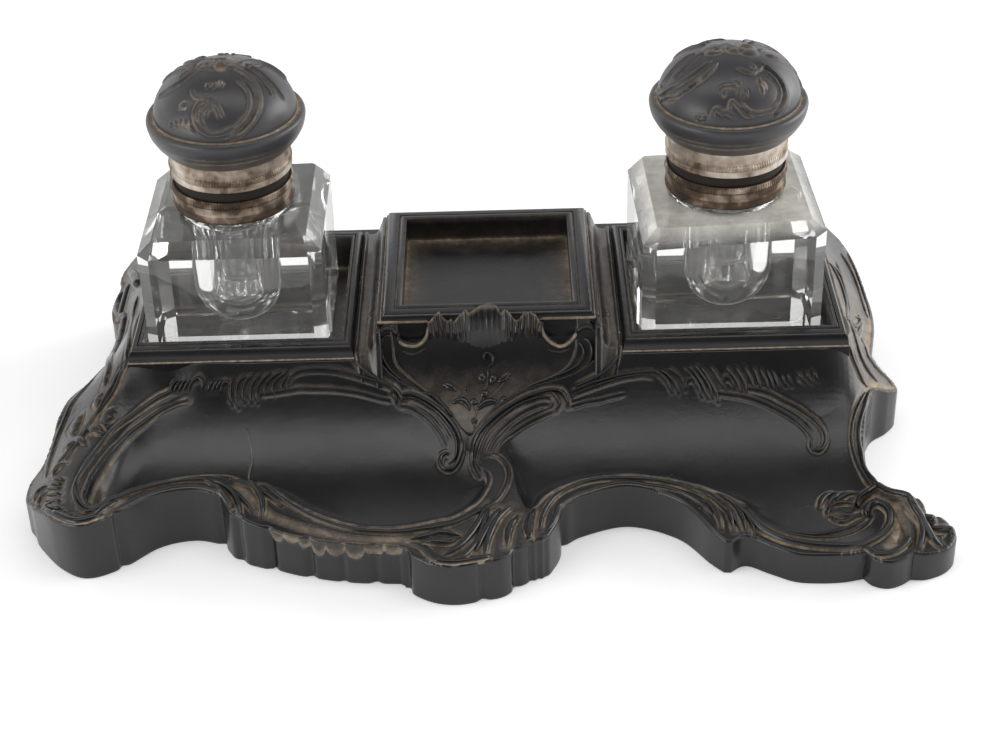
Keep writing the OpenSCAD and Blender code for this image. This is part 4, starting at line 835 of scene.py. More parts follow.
CORNER_BEADS = [
    (1.0, 0.6, 0.6, [BOWL_R1]),
    (0.8, 0.5, 0.3, [BOWL_R3]),
    (2.1, 1.5, 0.7, [BOWL_R2], BLUNT),
    (1.7, 1.0, 0.6, [HOLLOW_R]),
    (1.9, 1.0, 0.9, [ACAN_1, ACAN_2, ACAN_3, ACAN_4, ACAN_5, ACAN_6], {"swell": (0.5, 1, 0.8)}),
    (2.2, 1.2, 0.7, [LEAF_O1, LEAF_O2, LEAF_O3, LEAF_O4]),
    # Skirts and leaves
    (1.2, 0.5, 0.4, [SIDE_L, SIDE_L2]),
    (1.0, 0.6, 0.7, [SKIRT_L]),
    (3.4, 1.1, 0.6, [RIB_L], {"ends": 2.0, "swell": (0.6, 1, 0.7)}),
    (1.2, 0.6, 0.5, [RIB_L2]),
    (3.2, 1.2, 0.6, [LEAF_L9], {"ends": 1.5, "swell": (0.5, 1, 0.5)}),
    (3.6, 1.6, 0.4, [KNOB_L], {"ends": 1.5, "swell": (0.7, 1, 0.7)}),
    (1.3, 0.9, 0.7, [SKIRT_L2]),
    (5.0, 1.1, 0.8, [LEAF_L1], LEAF),
    (3.4, 1.1, 0.8, [LEAF_L2], LEAF),
    (3.8, 1.1, 0.8, [LEAF_L3], LEAF),
    (4.6, 1.1, 0.8, [LEAF_L4], LEAF),
    (2.2, 1.1, 0.8, [LEAF_L6], LEAF),
    (2.6, 1.1, 0.8, [LEAF_L7], LEAF),
    (3.0, 1.1, 0.8, [LEAF_L8], LEAF),
    (1.0, 0.7, 0.8, [LEAF_L5]),
    (1.2, 0.5, 0.6, [SKIRT_R1, SKIRT_R2, SKIRT_R3, SKIRT_R4, SKIRT_R5, BACK_R, RIDGE_R, CURL_R]),
    (2.3, 1.2, 0.85, [FAN1, FAN2, CEN_1, CEN_2, CEN_3, CEN_4, CEN_5, CEN_6], {"swell": (0.6, 1, 0.6)}),
    (1.6, 1.0, 0.7, [LIP_C]),
    (1.8, 1.0, 0.8, [BOWL_C]),
    (1.15, 0.9, 0.25, [*RUF_L, *RUF_R], {"ends": 1.5, "swell": (0.5, 1, 0.6)}),
    (1.2, 0.8, 0.7, [*FOOT_F, FOOT_X1, FOOT_X2, FOOT_X3], {"ends": 1.0}),
    (1.8, 0.9, 0.8, [RIB_1, RIB_2, RIB_3, RIB_4], {"ends": 1.5, "swell": (0.6, 1, 0.5)}),
    (1.8, 0.9, 0.7, [BULB_LIP], BLUNT)
]
# Bands of brown dust: reach, amount, curves
SOILED = [
    (3.0, 0.6, [FOOT_L_IN]), (2.2, 0.55, [TAN_WAVE]), (2.4, 0.5, [FRINGE_TOP]), (2.4, 0.62, [CHAN_IN]),
    (4.0, 0.42, [LEAF_L5]), (8.0, 0.42, [SKIRT_R1, SKIRT_R5]),
    (2.6, 0.45, [FAN1, FAN2, CEN_1, CEN_2, CEN_3, CEN_4, CEN_5, CEN_6])
]


def carve(field, beads):
    """Lays the beads and cuts the hollows of the stand's top."""
    def lay_all(table):
        for width, height, foot, curves, *more in table:
            for curve in curves:
                beads.lay(field, curve, width, height, foot=foot, **(more[0] if more else {}))

    # The left trough's inner bead is in two parts, because the ruffles cover it between them
    beads.lay(field, TRAY_L_IN[:9], 0.8, 0.5, ends=2.0, foot=0.2)
    beads.lay(field, TRAY_L_IN[13:], 1.1, 0.7, ends=4.0, foot=0.5)
    lay_all(TRAY_BEADS)
    field.change(TRAY_L_OUT[8:28], 1.6, 0.5)
    lay_all(BORDER_BEADS)
    field.change(CHAN_R, 5.2, 2.8, power=0.8)
    lay_all(CORNER_BEADS)
    field.change(CRACK, 0.5, 0.25, dust=0.6)
    for reach, amount, curves in SOILED:
        for curve in curves:
            field.soil(curve, reach, amount)


def blur_grid(values, mask, radius):
    """Box-blurred values of a masked grid."""
    def box(a, n, axis):
        c = np.cumsum(a, axis)
        pad = [(0, 0), (0, 0)]
        pad[axis] = (n + 1, n)
        c = np.pad(c, pad, mode="edge")
        first = [slice(None)] * 2
        last = [slice(None)] * 2
        first[axis] = slice(0, -2 * n - 1)
        last[axis] = slice(2 * n + 1, None)
        return c[tuple(last)] - c[tuple(first)]
    total, weight = values * mask, mask.astype(float)
    for _ in range(2):
        for axis in (0, 1):
            total, weight = box(total, radius, axis), box(weight, radius, axis)
    return total / np.maximum(weight, 1e-9)


# Openings of the top under the two well frames and the centre frame: x0, x1, y0, y1
HOLES = [(-97.5, -38.1, -31.1, 31.1), (38.1, 97.5, -31.1, 31.1), (-28.3, 28.3, -26.4, 31.3)]
WALL_ROWS = 28
WALL = 4.0  # width of the ring under the wall
# Plan box of the CAD stand, which the visual one stays in
CAD_LOW = np.array([-124.45, -101.6])
CAD_HIGH = np.array([119.48, 38.49])


def grid_quads(field):
    """Cells of the grid that lie on the stand: quads and their boundary edges."""
    shape = field.z.shape
    ok = field.depth > RIM_R - 0.3 * field.step
    for x0, x1, y0, y1 in HOLES:
        ok &= ~((field.gx > x0) & (field.gx < x1) & (field.gy > y0) & (field.gy < y1))
    cell = ok[:-1, :-1] & ok[1:, :-1] & ok[1:, 1:] & ok[:-1, 1:]
    index = np.arange(field.z.size).reshape(shape)
    i, j = np.nonzero(cell)
    quads = np.stack([index[i, j], index[i + 1, j], index[i + 1, j + 1], index[i, j + 1]], 1)
    edges = np.concatenate([quads[:, [k, (k + 1) % 4]] for k in range(4)])
    key = np.sort(edges, 1)
    key = key[:, 0] * field.z.size + key[:, 1]
    _, first, count = np.unique(key, return_index=True, return_counts=True)
    return quads, edges[first[count == 1]]


def smooth_loop(loop, step):
    """Closed loop with a point about every step."""
    closed = np.vstack([loop, loop[:1]])
    run = run_length(closed)
    at = np.arange(0, run[-1], step)
    return np.column_stack([np.interp(at, run, closed[:, 0]), np.interp(at, run, closed[:, 1])])


class Curtain:
    """Rows of points that hang from an edge of a mesh, each row joined to the one above it."""

    def __init__(self, verts, dust, faces, edge, pairs):
        self.verts, self.dust, self.faces = [verts], [dust], [faces]
        self.count, self.above = len(verts), edge
        self.a, self.b = pairs

    def row(self, places, heights, dust):
        self.verts.append(np.column_stack([places, heights]))
        self.dust.append(dust)
        below = self.count + np.arange(len(places))
        self.count += len(places)
        a, b = self.a, self.b
        self.faces.append(np.stack([self.above[b], self.above[a], below[a], below[b]], 1))
        self.above = below


def hollow_dust(field, used):
    """Dust that gathers where the top lies below its surroundings."""
    mask = np.zeros(field.z.size, bool)
    mask[used] = True
    soft = blur_grid(field.z, mask.reshape(field.z.shape), int(round(1.4 / field.step))).ravel()[used]
    hollow = np.clip((soft - field.z.ravel()[used]) / 0.8 - 0.4, 0, 1)
    return np.clip(field.dust.ravel()[used] + 0.6 * hollow, 0, 1)


def stand_top(field):
    """The stand's moulded top with its outer wall, down to the table."""
    loop = outline_loop(0.4)
    quads, rim_edges = grid_quads(field)
    used = np.unique(quads)
    renum = np.full(field.z.size, -1)
    renum[used] = np.arange(len(used))
    quads, rim_edges = renum[quads], renum[rim_edges]
    p = np.stack([field.gx.ravel(), field.gy.ravel()], 1)[used]
    z = field.z.ravel()[used]
    rim = np.unique(rim_edges)
    rim = rim[field.depth.ravel()[used][rim] < RIM_R + 3 * field.step]
    d, foot = nearest_on(np.vstack([loop, loop[:1]]), p[rim])
    out = (foot - p[rim]) / np.maximum(d, 1e-6)[:, None]
    p[rim] = foot - out * RIM_R
    dust = hollow_dust(field, used)
    where = np.full(len(p), -1)
    where[rim] = np.arange(len(rim))
    pairs = where[rim_edges[(where[rim_edges] >= 0).all(1)]].T
    wall = Curtain(np.column_stack([p, z]), dust, quads, rim, pairs)
    hang_wall(wall, foot, out, z[rim], dust[rim])
    verts = np.vstack(wall.verts)
    verts[:, :2] = np.clip(verts[:, :2], CAD_LOW, CAD_HIGH)
    return make_mesh("stand_moulding", verts, np.vstack(wall.faces), dust=np.concatenate(wall.dust))


def hang_wall(wall, foot, out, top_z, top_dust):
    """Rounded rim, creased wall with its fringe, and the ring on which the stand rests."""
    creases, lobes = wall_creases(foot), fringe_depth(foot)
    levels = [(1 - math.sin(q), 1 - math.cos(q), None) for q in np.radians([22, 45, 67, 90])]
    levels += [(0.0, 1.0, share) for share in np.linspace(0, 1, WALL_ROWS)[1:]]
    for back, drop, share in levels:
        top = top_z - drop * RIM_R
        z = top if share is None else top * (1 - share)
        below = np.clip((top_z - z - lobes) / 0.7, 0, 1) * (lobes > 0)
        offset = back * RIM_R + creases * (1.0 if share is not None else 0.6) + 0.75 * below
        gap = lobes - (top_z - z)
        above = np.clip(gap / 0.5 + 0.7, 0, 1) * np.clip(1.5 - gap / 2.2, 0.35, 1) * (lobes > 0)
        tone = top_dust * (0.6 * (1 - drop) if share is None else 0.0) + 0.52 * above
        wall.row(foot - out * offset[:, None], z, np.clip(tone, 0, 1))
    for z in (0.0, 3.0):
        wall.row(foot - out * WALL, np.full(len(foot), z), np.zeros(len(foot)))


# Upright creases in the outer wall: place on the outline, depth and width
CREASES = [(-66, -82.4, 1.3, 1.6), (-57.5, -86, 0.9, 1.2), (-47, -90, 0.9, 1.2), (-38.5, -92.2, 0.6, 1.0),
           (-30, -93, 0.9, 1.2), (-22, -95.4, 1.2, 1.4), (-2.5, -100.3, 0.9, 1.2), (6.1, -95.8, 0.9, 1.2),
           (10, -93.2, 0.5, 0.8), (12, -92.6, 0.6, 0.9), (14, -92, 0.9, 1.1), (18.5, -79.5, 0.9, 1.4),
           (60.5, -92.2, 0.2, 1.0), (-96.5, -83.2, 0.9, 1.2), (-71, -74.7, 0.5, 1.2)]


def wall_creases(foot):
    """How far the wall stands back at each place of the outline."""
    back = np.zeros(len(foot))
    for x, y, depth, width in CREASES:
        d = np.hypot(foot[:, 0] - x, foot[:, 1] - y)
        back = np.maximum(back, depth * np.exp(-(d / width) ** 2))
    return back


# Fringe that hangs over the front wall: places along x where its lobes meet, and how far they hang
FRINGE_X = [-57.5, -53.5, -49.5, -46.5, -42.5, -37.5, -32.5, -27.5, -23.0]
FRINGE_DROP = [3.4, 2.6, 3.8, 5.2, 4.6, 5.0, 3.6, 3.0]


def fringe_depth(foot):
    """How far the fringe hangs down the wall at each place of the outline; 0 where there is none."""
    drop = np.zeros(len(foot))
    for x0, x1, deep in zip(FRINGE_X, FRINGE_X[1:], FRINGE_DROP):
        k = (foot[:, 0] >= x0) & (foot[:, 0] < x1) & (foot[:, 1] < -75)
        t = (foot[k, 0] - x0) / (x1 - x0)
        drop[k] = deep * (0.45 + 0.55 * np.sqrt(np.clip(1 - (2 * t - 1) ** 2, 0, 1)))
    return drop


# ---------------------------------------------------------------- frames, coves, apron and shell

def rectangle_piece(name, cx, cy, w, l, rows, dust):
    """Mitred moulding round a rectangle, closed by a floor. A row is (inset in x, inset in y, height)."""
    rings = []
    for ix, iy, z in rows:
        hx, hy = w / 2 - ix, l / 2 - iy
        rings.append([(cx + i * hx, cy + j * hy, z) for i, j in ((-1, -1), (1, -1), (1, 1), (-1, 1))])
    verts, faces = loft(rings)
    last = len(verts) - 4
    faces = np.vstack([faces, [[last, last + 1, last + 2, last + 3]]])
    obj = make_mesh(name, verts, faces, dust=np.repeat(dust, 4))
    obj.data.set_sharp_from_angle(angle=math.radians(35))
    return obj


def bar_rows(side, front, low, rise, floor_z):
    """Rows of a frame bar: foot, fillet, quarter round, flat, inner bead, and down its inner wall."""
    section = [(0.0, -1.5, 0.0), (0.0, -0.06, 0.0), (0.0, 0.02, 0.8), (0.02, 0.06, 0.95),
               (0.045, 0.08, 0.9), (0.06, 0.07, 0.4)]
    for q in range(0, 91, 10):
        a = math.radians(q)
        section.append((0.52 - 0.45 * math.cos(a), 0.10 + 0.83 * math.sin(a), 0.0))
    section += [(0.66, 0.93, 0.1), (0.69, 0.80, 0.35), (0.73, 0.80, 0.35)]
    for q in range(0, 181, 20):
        a = math.radians(q)
        tone = 0.1 if 30 < q < 150 else 0.3
        section.append((0.865 - 0.135 * math.cos(a), 0.86 + 0.14 * math.sin(a), tone))
    rows = [(s * side, s * front, low + h * rise) for s, h, _ in section]
    dust = [d for _, _, d in section]
    rows += [(side, front, low), (side, front, floor_z + 1.0), (side, front, floor_z)]
    dust += [0.1, 0.2, 0.7]
    rows += [(side + inset, front + inset, floor_z) for inset in (1.2, 4.0, 9.0)]
    dust += [0.45, 0.2, 0.04]
    return rows, dust


# Section of a cove between the centre block and a well: distance from the middle, height and dust
COVE = [(29.0, 33.0, 0.0), (29.3, 37.4, 0.1), (29.7, 38.0, 0.1), (30.35, 38.2, 0.0), (30.9, 37.8, 0.1),
        (31.15, 37.0, 0.6), (31.3, 36.4, 0.6), (31.6, 35.8, 0.1), (31.95, 34.9, 0.0), (32.2, 34.1, 0.1),
        (32.6, 33.4, 0.2), (33.2, 32.8, 0.25), (33.9, 32.5, 0.3), (34.6, 32.4, 0.3), (35.1, 32.5, 0.3),
        (35.4, 32.6, 0.5), (35.6, 32.9, 0.3), (35.8, 33.25, 0.0), (36.1, 33.4, 0.0), (36.4, 33.25, 0.0),
        (36.6, 32.9, 0.3), (36.8, 32.2, 0.6), (36.9, 30.0, 0.2)]


def cove(side, name):
    """Cove beside the centre block, which falls away onto the slope at its front end."""
    rows, tones = [], []
    section = np.array(COVE)
    stations = [32.7, 32.5, 20, 10, 0, -10, -20, -27, -29, *np.arange(-31, -40.1, -0.5)]
    for y in stations:
        t = np.clip((-31 - y) / 9, 0, 1)
        x = section[:, 0] - 3.2 * t ** 1.5 * (section[:, 0] - 29) / 8
        flat = slope(np.array(y)) if y < DECK_FRONT else 31.5
        z = flat + (section[:, 1] - 31.5) * (1 - t) ** 1.6 - 0.35 * t
        if y == stations[0]:
            z = np.minimum(z, 31.0)
        rows.append(np.column_stack([side * x, np.full(len(x), y), z]))
        tones.append(section[:, 2] * (1 - 0.5 * t))
    verts, faces = loft(rows, False)
    if side > 0:
        faces = faces[:, ::-1]
    return make_mesh(name, verts, faces, dust=np.concatenate(tones))


# The apron is part of a hollow cylinder: the axis's y and z, the radius, the angle of the upper edge, the
# length down the face, and how finely the piece is built
APRON_AXIS = (-65.9168, 52.8688)
APRON_R = 40.7
APRON_START = math.atan2(38.6 - APRON_AXIS[1], -27.8 - APRON_AXIS[0])
APRON_END = 33.4
APRON_STEP = 0.3
APRON_COLUMNS = 190
LUNETTE_DEPTH = 2.2


def on_apron(xs):
    """Points (x, length down the apron) as points in space, and the normals there."""
    xs = np.asarray(xs, float)
    a = APRON_START - xs[:, 1] / APRON_R
    y = APRON_AXIS[0] + APRON_R * np.cos(a)
    z = APRON_AXIS[1] + APRON_R * np.sin(a)
    return np.column_stack([xs[:, 0], y, z]), np.column_stack([np.zeros(len(a)), -np.cos(a), -np.sin(a)])


# Left and right ends of the apron: lengths down it, and places across
APRON_LEFT = ([0, 1.4, 3.1, 5.3, 7.8, 10.6, 13.1, 15.3, 17.3, 19, 22, 25.4, 28.1, 30.6, 33.4],
              [-28.2, -29.2, -30.6, -31.3, -31.3, -30.5, -29.2, -27.3, -24.7, -21.6, -16.2, -12.2, -10,
               -8.3, -5.6])
APRON_RIGHT = ([0, 1.5, 2.7, 4.4, 6.9, 9.4, 12.6, 14.4, 16, 17.6, 19.2, 21, 24, 28, 31, 33.4],
               [27.6, 28.2, 29.2, 30.4, 31.1, 31.2, 29.6, 27.6, 24.8, 20.6, 13.5, 8.6, 3.2, -1.2, -3.4,
                -5.2])


def apron_edges(s):
    """Left and right ends of the apron at a length down it."""
    return np.interp(s, *APRON_LEFT), np.interp(s, *APRON_RIGHT)


def lunette_depth(q):
    """How far the two half-round lunettes are sunk at points of the apron."""
    depth = np.zeros(len(q))
    for curve in (APRON_LUNE_L, APRON_LUNE_R):
        loop = np.vstack([[(curve[0][0], -0.2)], smooth(curve, 0.3), [(curve[-1][0], -0.2)]])
        mid = (loop[:, 0].min() + loop[:, 0].max()) / 2
        lift = np.interp(q[:, 0], *np.array(sorted(map(tuple, loop))).T)
        within = (np.abs(q[:, 0] - mid) < (loop[:, 0].max() - loop[:, 0].min()) / 2) & (q[:, 1] < lift)
        dist, _ = nearest_on(np.vstack([loop, loop[:1]]), q)
        depth = np.where(within, np.clip(dist / 0.6, 0, 1) * LUNETTE_DEPTH, depth)
    return depth


def apron_piece(field):
    """Shield-shaped apron below the centre tray, with its sunk lunettes."""
    rows, tones = [], []
    u = np.linspace(0, 1, APRON_COLUMNS)
    for s in np.arange(-APRON_STEP, APRON_END, APRON_STEP):
        left, right = apron_edges(s)
        q = np.column_stack([left + (right - left) * u, np.full(len(u), s)])
        p, normal = on_apron(q)
        sunk = lunette_depth(q)
        scoop = 0.25 * np.exp(-((q[:, 0] + 0.5) / 9) ** 2 - ((s - 8) / 5) ** 2)
        p = p - normal * (sunk + scoop)[:, None]
        low = field.sample(field.base, p[:, :2]) - 1.2
        edge_l, edge_r = p[:1].copy(), p[-1:].copy()
        edge_l[0, 2], edge_r[0, 2] = min(low[0], edge_l[0, 2] - 1), min(low[-1], edge_r[0, 2] - 1)
        rows.append(np.vstack([edge_l, p, edge_r]))
        near_l = np.exp(-(q[:, 0] - left) / 1.6) + np.exp(-(right - q[:, 0]) / 1.6)
        tip = np.clip((s - 10) / 14, 0, 1)
        rim = (sunk > 0.05) & (sunk < LUNETTE_DEPTH - 0.1)
        tone = np.clip(0.12 * near_l * (sunk < 0.1) + 0.36 * tip + 0.4 * rim * (s > 2), 0, 1)
        tones.append(np.concatenate([[0.1], tone, [0.1]]))
    verts, faces = loft(rows, False)
    return make_mesh("apron", verts, faces[:, ::-1], dust=np.concatenate(tones))


def lower_under_apron(field):
    """Drops the stand's top under the apron, so that it doesn't come through."""
    y = field.gy
    a = -np.arccos(np.clip((y - APRON_AXIS[0]) / APRON_R, -1, 1))
    s = (APRON_START - a) * APRON_R
    left, right = apron_edges(s)
    k = (field.gx > left + 0.3) & (field.gx < right - 0.3) & (s > -3) & (s < APRON_END)
    level = APRON_AXIS[1] + APRON_R * np.sin(a) - 2.6
    field.z[k] = np.minimum(field.z[k], level[k])


# Beads of the apron: width, height, curves and settings
APRON_BEADS = [
    (1.0, 0.7, [[(-26.4, 0.3), (-26.5, 3.5)] + APRON_VEE[:12],
                APRON_VEE[12:-1] + [(24.2, 6.6), (24.4, 5.6)]], {"ends": 0.5, "dust": 0.2}),
    (1.0, 0.7, [APRON_VEE[10:15]], {"ends": 0.8, "dust": 0.2}),
    (1.6, 1.3, [APRON_CC_L1 + APRON_VEE[6:10]], {}),
    (1.1, 1.0, [APRON_CC_L2], {}),
    (1.5, 1.3, [APRON_CC_R1 + [(29.6, 12.4), (27.4, 14.4), (24.6, 16)]], {}),
    (1.4, 1.2, [APRON_CC_R2], {}),
    (1.0, 0.8, [APRON_CC_R3], {}),
    (0.9, 0.5, [APRON_LUNE_L, APRON_LUNE_R], {"ends": 0.6, "dust": 0.65}),
    (0.6, 0.45, [APRON_LUNE_L2, APRON_LUNE_R2], {"dust": 0.1}),
    (0.7, 0.5, [[(-30.4, -0.25), (-16.3, -0.25)], [(14.8, -0.25), (29.8, -0.25)]],
     {"ends": 0.6, "dust": 0.55}),
    (1.0, 1.0, [APRON_BUD], {"swell": (0.5, 1, 0.8)}),
    (0.6, 0.5, APRON_STEMS, {"dust": 0.25}),
    (2.5, 1.0, APRON_LEAVES, {"ends": 1.0, "swell": (0.4, 1, 0.35), "dust": 0.05})
]


def apron_relief(beads):
    """Lays the beads of the apron on its curved face."""
    for width, height, curves, settings in APRON_BEADS:
        for curve in curves:
            path, normal = on_apron(smooth(curve, 0.35))
            beads.sweep(path, normal, width, height, sink=1.2, **settings)


# Section of the shell above the apron: y and height
SHELL_SECTION = [(-36.5, 24.3), (-33.5, 28.3), (-30.9, 32.9), (-29.3, 36.8), (-27.9, 39.6), (-26, 41.3),
                 (-23.6, 42), (-21.5, 42.1)]
SHELL_ROWS = 46
# Rows of its back, which turns down behind the upper edge: drop and way back
SHELL_BACK = ((0.35, 0.5), (1.4, 0.9), (3.2, 1.2))


def shell_flutes(xs):
    """Depth of the shell's flutes at places across it."""
    flutes = np.zeros(len(xs))
    for x in SHELL_FLUTES:
        deep = np.clip(abs(x + 1) / 7 - 0.25, 0.2, 1)
        flutes = np.maximum(flutes, np.exp(-((xs - x) / 0.36) ** 2) * deep)
    return flutes


def shell_piece():
    """Fluted shell that rises from the apron over the front of the centre frame."""
    section = smooth(SHELL_SECTION, 0.3)
    run = run_length(section)
    tops = np.array(SHELL_TOP)
    xs = np.arange(tops[0, 0], tops[-1, 0] + 0.01, 0.15)
    top = np.interp(xs, tops[:, 0], tops[:, 1])
    flat = 0.9 * np.exp(-((xs + 0.8) / 5.2) ** 2)
    start = 8.6 + 1.4 * np.abs(xs / 16) ** 2 - 3.0 * flat
    flutes = shell_flutes(xs)
    lobes = np.clip((top - blur_line(top, 9)) / 1.2, -1, 1)
    rows, tones = [], []
    for t in np.linspace(0, 1, SHELL_ROWS):
        s = start + (top - start) * t
        y, z = np.interp(s, run, section[:, 0]), np.interp(s, run, section[:, 1])
        dy, dz = np.interp(s + 0.2, run, section[:, 0]) - y, np.interp(s + 0.2, run, section[:, 1]) - z
        size = np.maximum(np.hypot(dy, dz), 1e-6)
        ny, nz = -dz / size, dy / size
        fade = np.clip(t * 1.7, 0, 1)
        push = fade * (0.35 - 0.8 * flutes) + 0.7 * t ** 5 - (1.3 - 0.75 * flat) * (1 - fade) - 0.35 * flat
        push += 0.5 * lobes * t ** 2
        splay = xs * (1 + 0.05 * t ** 2) + 0.35 * np.sin(t * 5 + xs) * (1 - t)
        rows.append(np.column_stack([splay, y + ny * push, z + nz * push]))
        tones.append(np.clip(0.45 * flutes * fade + 0.42 * np.clip((t - 0.9) / 0.08, 0, 1), 0, 1))
    for drop, back in SHELL_BACK:
        last = rows[-1].copy()
        last[:, 1] += back
        last[:, 2] -= drop
        rows.append(last)
        tones.append(np.full(len(xs), 0.5))
    verts, faces = loft(rows, False)
    return make_mesh("shell", verts, faces, dust=np.concatenate(tones))


def blur_line(values, n):
    """Running mean over n values on each side."""
    return np.convolve(np.pad(values, n, mode="edge"), np.ones(2 * n + 1) / (2 * n + 1), "valid")


# ---------------------------------------------------------------- glass bottles

# Middle of each bottle, its turn in degrees, and how unevenly its top and its bevels are cut
BOTTLES = {"left": ((-69.5, -0.6), 0.0, 0.020, 0.004), "right": ((66.9, 0.6), 2.0, 0.015, 0.042)}
BLOCK_HALF = 25.0
BLOCK_CUT = 3.4
BLOCK_FOOT = 24.1
SHOULDER_Z = 58.4
BLOCK_TOP = 62.8
BORE_R = 12.4
BORE_LOW = 43.7  # where the bore's round bottom starts
BORE_FLOOR = 31.3
# Neck and bore: radius, height, and share of the top's tilt
NECK = [(16.6, BLOCK_TOP, 1), (15.4, 63.2, 0.8), (14.5, 64.0, 0.3), (14.1, 65.0, 0), (14.1, 69, 0),
        (14.1, 72.6, 0), (13.7, 73.1, 0), (11.2, 73.1, 0), (10.5, 72.4, 0), (10.5, 68, 0),
        (10.5, BLOCK_TOP, 0), (10.8, 60.6, 0), (11.7, 58.8, 0), (BORE_R, 57.4, 0), (BORE_R, 52, 0),
        (BORE_R, 46, 0), (BORE_R, BORE_LOW, 0)]
SHARP = math.radians(22)
# Pale film on the top of the glass
FILM = {"left": 0.10, "right": 0.62}
LONG_SIDE = 20  # points along the sides of the ring round the block, and along its cut corners
SHORT_SIDE = 4


def octagon(half, cut):
    """Square with cut corners as a ring of points."""
    corners = []
    for k in range(4):
        a = math.radians(90 * k)
        c, s = math.cos(a), math.sin(a)
        for x, y in ((half, -(half - cut)), (half, half - cut)):
            corners.append((x * c - y * s, x * s + y * c))
    ring = []
    for k in range(8):
        p, q = np.array(corners[k]), np.array(corners[(k + 1) % 8])
        n = LONG_SIDE if k % 2 == 0 else SHORT_SIDE
        ring += [p + (q - p) * i / n for i in range(n)]
    return np.array(ring)


def glass_bottle(side):
    """Bevelled square block of glass with a round neck and a round-bottomed bore."""
    (cx, cy), turn, top_tilt, bevel_tilt = BOTTLES[side]
    around = octagon(BLOCK_HALF, BLOCK_CUT)
    angle = np.arctan2(around[:, 1], around[:, 0])
    circle = np.column_stack([np.cos(angle), np.sin(angle)])
    rows = []
    for half, cut, z, tilt in ((23.8, 3.0, BLOCK_FOOT, 0), (BLOCK_HALF, BLOCK_CUT, 25.3, 0),
                               (BLOCK_HALF, BLOCK_CUT, SHOULDER_Z, bevel_tilt),
                               (BLOCK_HALF, BLOCK_CUT, 58.9, bevel_tilt), (21.1, 0.9, BLOCK_TOP, top_tilt)):
        ring = octagon(half, cut)
        rows.append(np.column_stack([ring, z + tilt * ring[:, 0]]))
    angles = np.radians(np.arange(6, 90, 6))
    bottom = [(BORE_R * math.cos(q), BORE_LOW - BORE_R * math.sin(q), 0) for q in angles]
    for r, z, share in NECK + bottom:
        ring = circle * r
        rows.append(np.column_stack([ring, z + share * top_tilt * ring[:, 0]]))
    verts, faces = loft(rows)
    m, n = len(around), len(verts)
    verts = np.vstack([verts, [[0, 0, BLOCK_FOOT], [0, 0, BORE_FLOOR]]])
    low, pole = fan(n, 0, m), fan(n + 1, n - m, m, True)
    t = math.radians(turn)
    x, y = verts[:, 0].copy(), verts[:, 1].copy()
    verts[:, 0] = cx + x * math.cos(t) - y * math.sin(t)
    verts[:, 1] = cy + x * math.sin(t) + y * math.cos(t)
    haze = np.full(len(verts), 0.06)
    haze[4 * m:6 * m] = FILM[side]
    obj = make_mesh(f"{side}_glass", verts, [faces, low, pole], haze=haze)
    obj.data.set_sharp_from_angle(angle=SHARP)
    return obj


# ---------------------------------------------------------------- lids

CROWN_R = 19.4
CROWN_H = 13.7
CROWN_Z = 91.1
LID_TURNS = 360
CROWN_ROWS = 76
# Lumps of the little rosette on each crown: plan place, radius, and height (negative where it is sunk)
ROSETTE = {
    "left": [(-3.9, 0.8, 2.2, 0.7), (0.6, 0.6, 3.0, 0.7), (4.2, 0.6, 2.0, 0.5), (0.4, -2.2, 1.7, -0.7)],
    "right": [(-4.4, 1.3, 2.6, 0.6), (1.2, -0.8, 2.4, 0.8), (4.6, 1.0, 2.0, 0.6), (-3.7, -0.6, 1.5, -0.6)]
}
# Rolled skirt of a lid below its crown: radius, height and dust
SKIRT = [(17.0, 81.3, 0.3), (18.0, 82.3, 0.2), (19.0, 83.5, 0.2), (19.5, 84.2, 0.2), (19.75, 84.45, 0.5),
         (19.8, 84.7, 0.4), (20.2, 85.2, 0.1), (20.6, 85.95, 0.1), (20.72, 86.2, 0.5), (20.9, 86.45, 0.2),
         (21.2, 87.3, 0), (21.4, 88.1, 0), (21.55, 88.9, 0), (21.6, 89.5, 0), (21.55, 90.0, 0),
         (21.35, 90.5, 0), (21.0, 90.8, 0.1), (20.5, 90.95, 0.4), (20.2, 90.8, 1), (19.8, 90.7, 1),
         (19.45, 90.85, 0.8)]
# Hollow of a lid: foot and ledge, then the radius, foot and height of its roof
HOLLOW = [(17.0, 81.3), (15.72, 81.3), (15.72, 83), (15.72, 84.5), (17.2, 84.5)]
ROOF_R = 17.2
ROOF_Z = 84.5
ROOF_H = 18.0


def crown_point(q):
    """Points of the plan raised onto the crown of a lid."""
    r = np.hypot(q[:, 0], q[:, 1])
    k = np.minimum(1, (CROWN_R - 0.02) / np.maximum(r, 1e-6))
    x, y = q[:, 0] * k, q[:, 1] * k
    z = CROWN_Z + CROWN_H * np.sqrt(np.clip(1 - (x ** 2 + y ** 2) / CROWN_R ** 2, 0, 1))
    return np.column_stack([x, y, z])


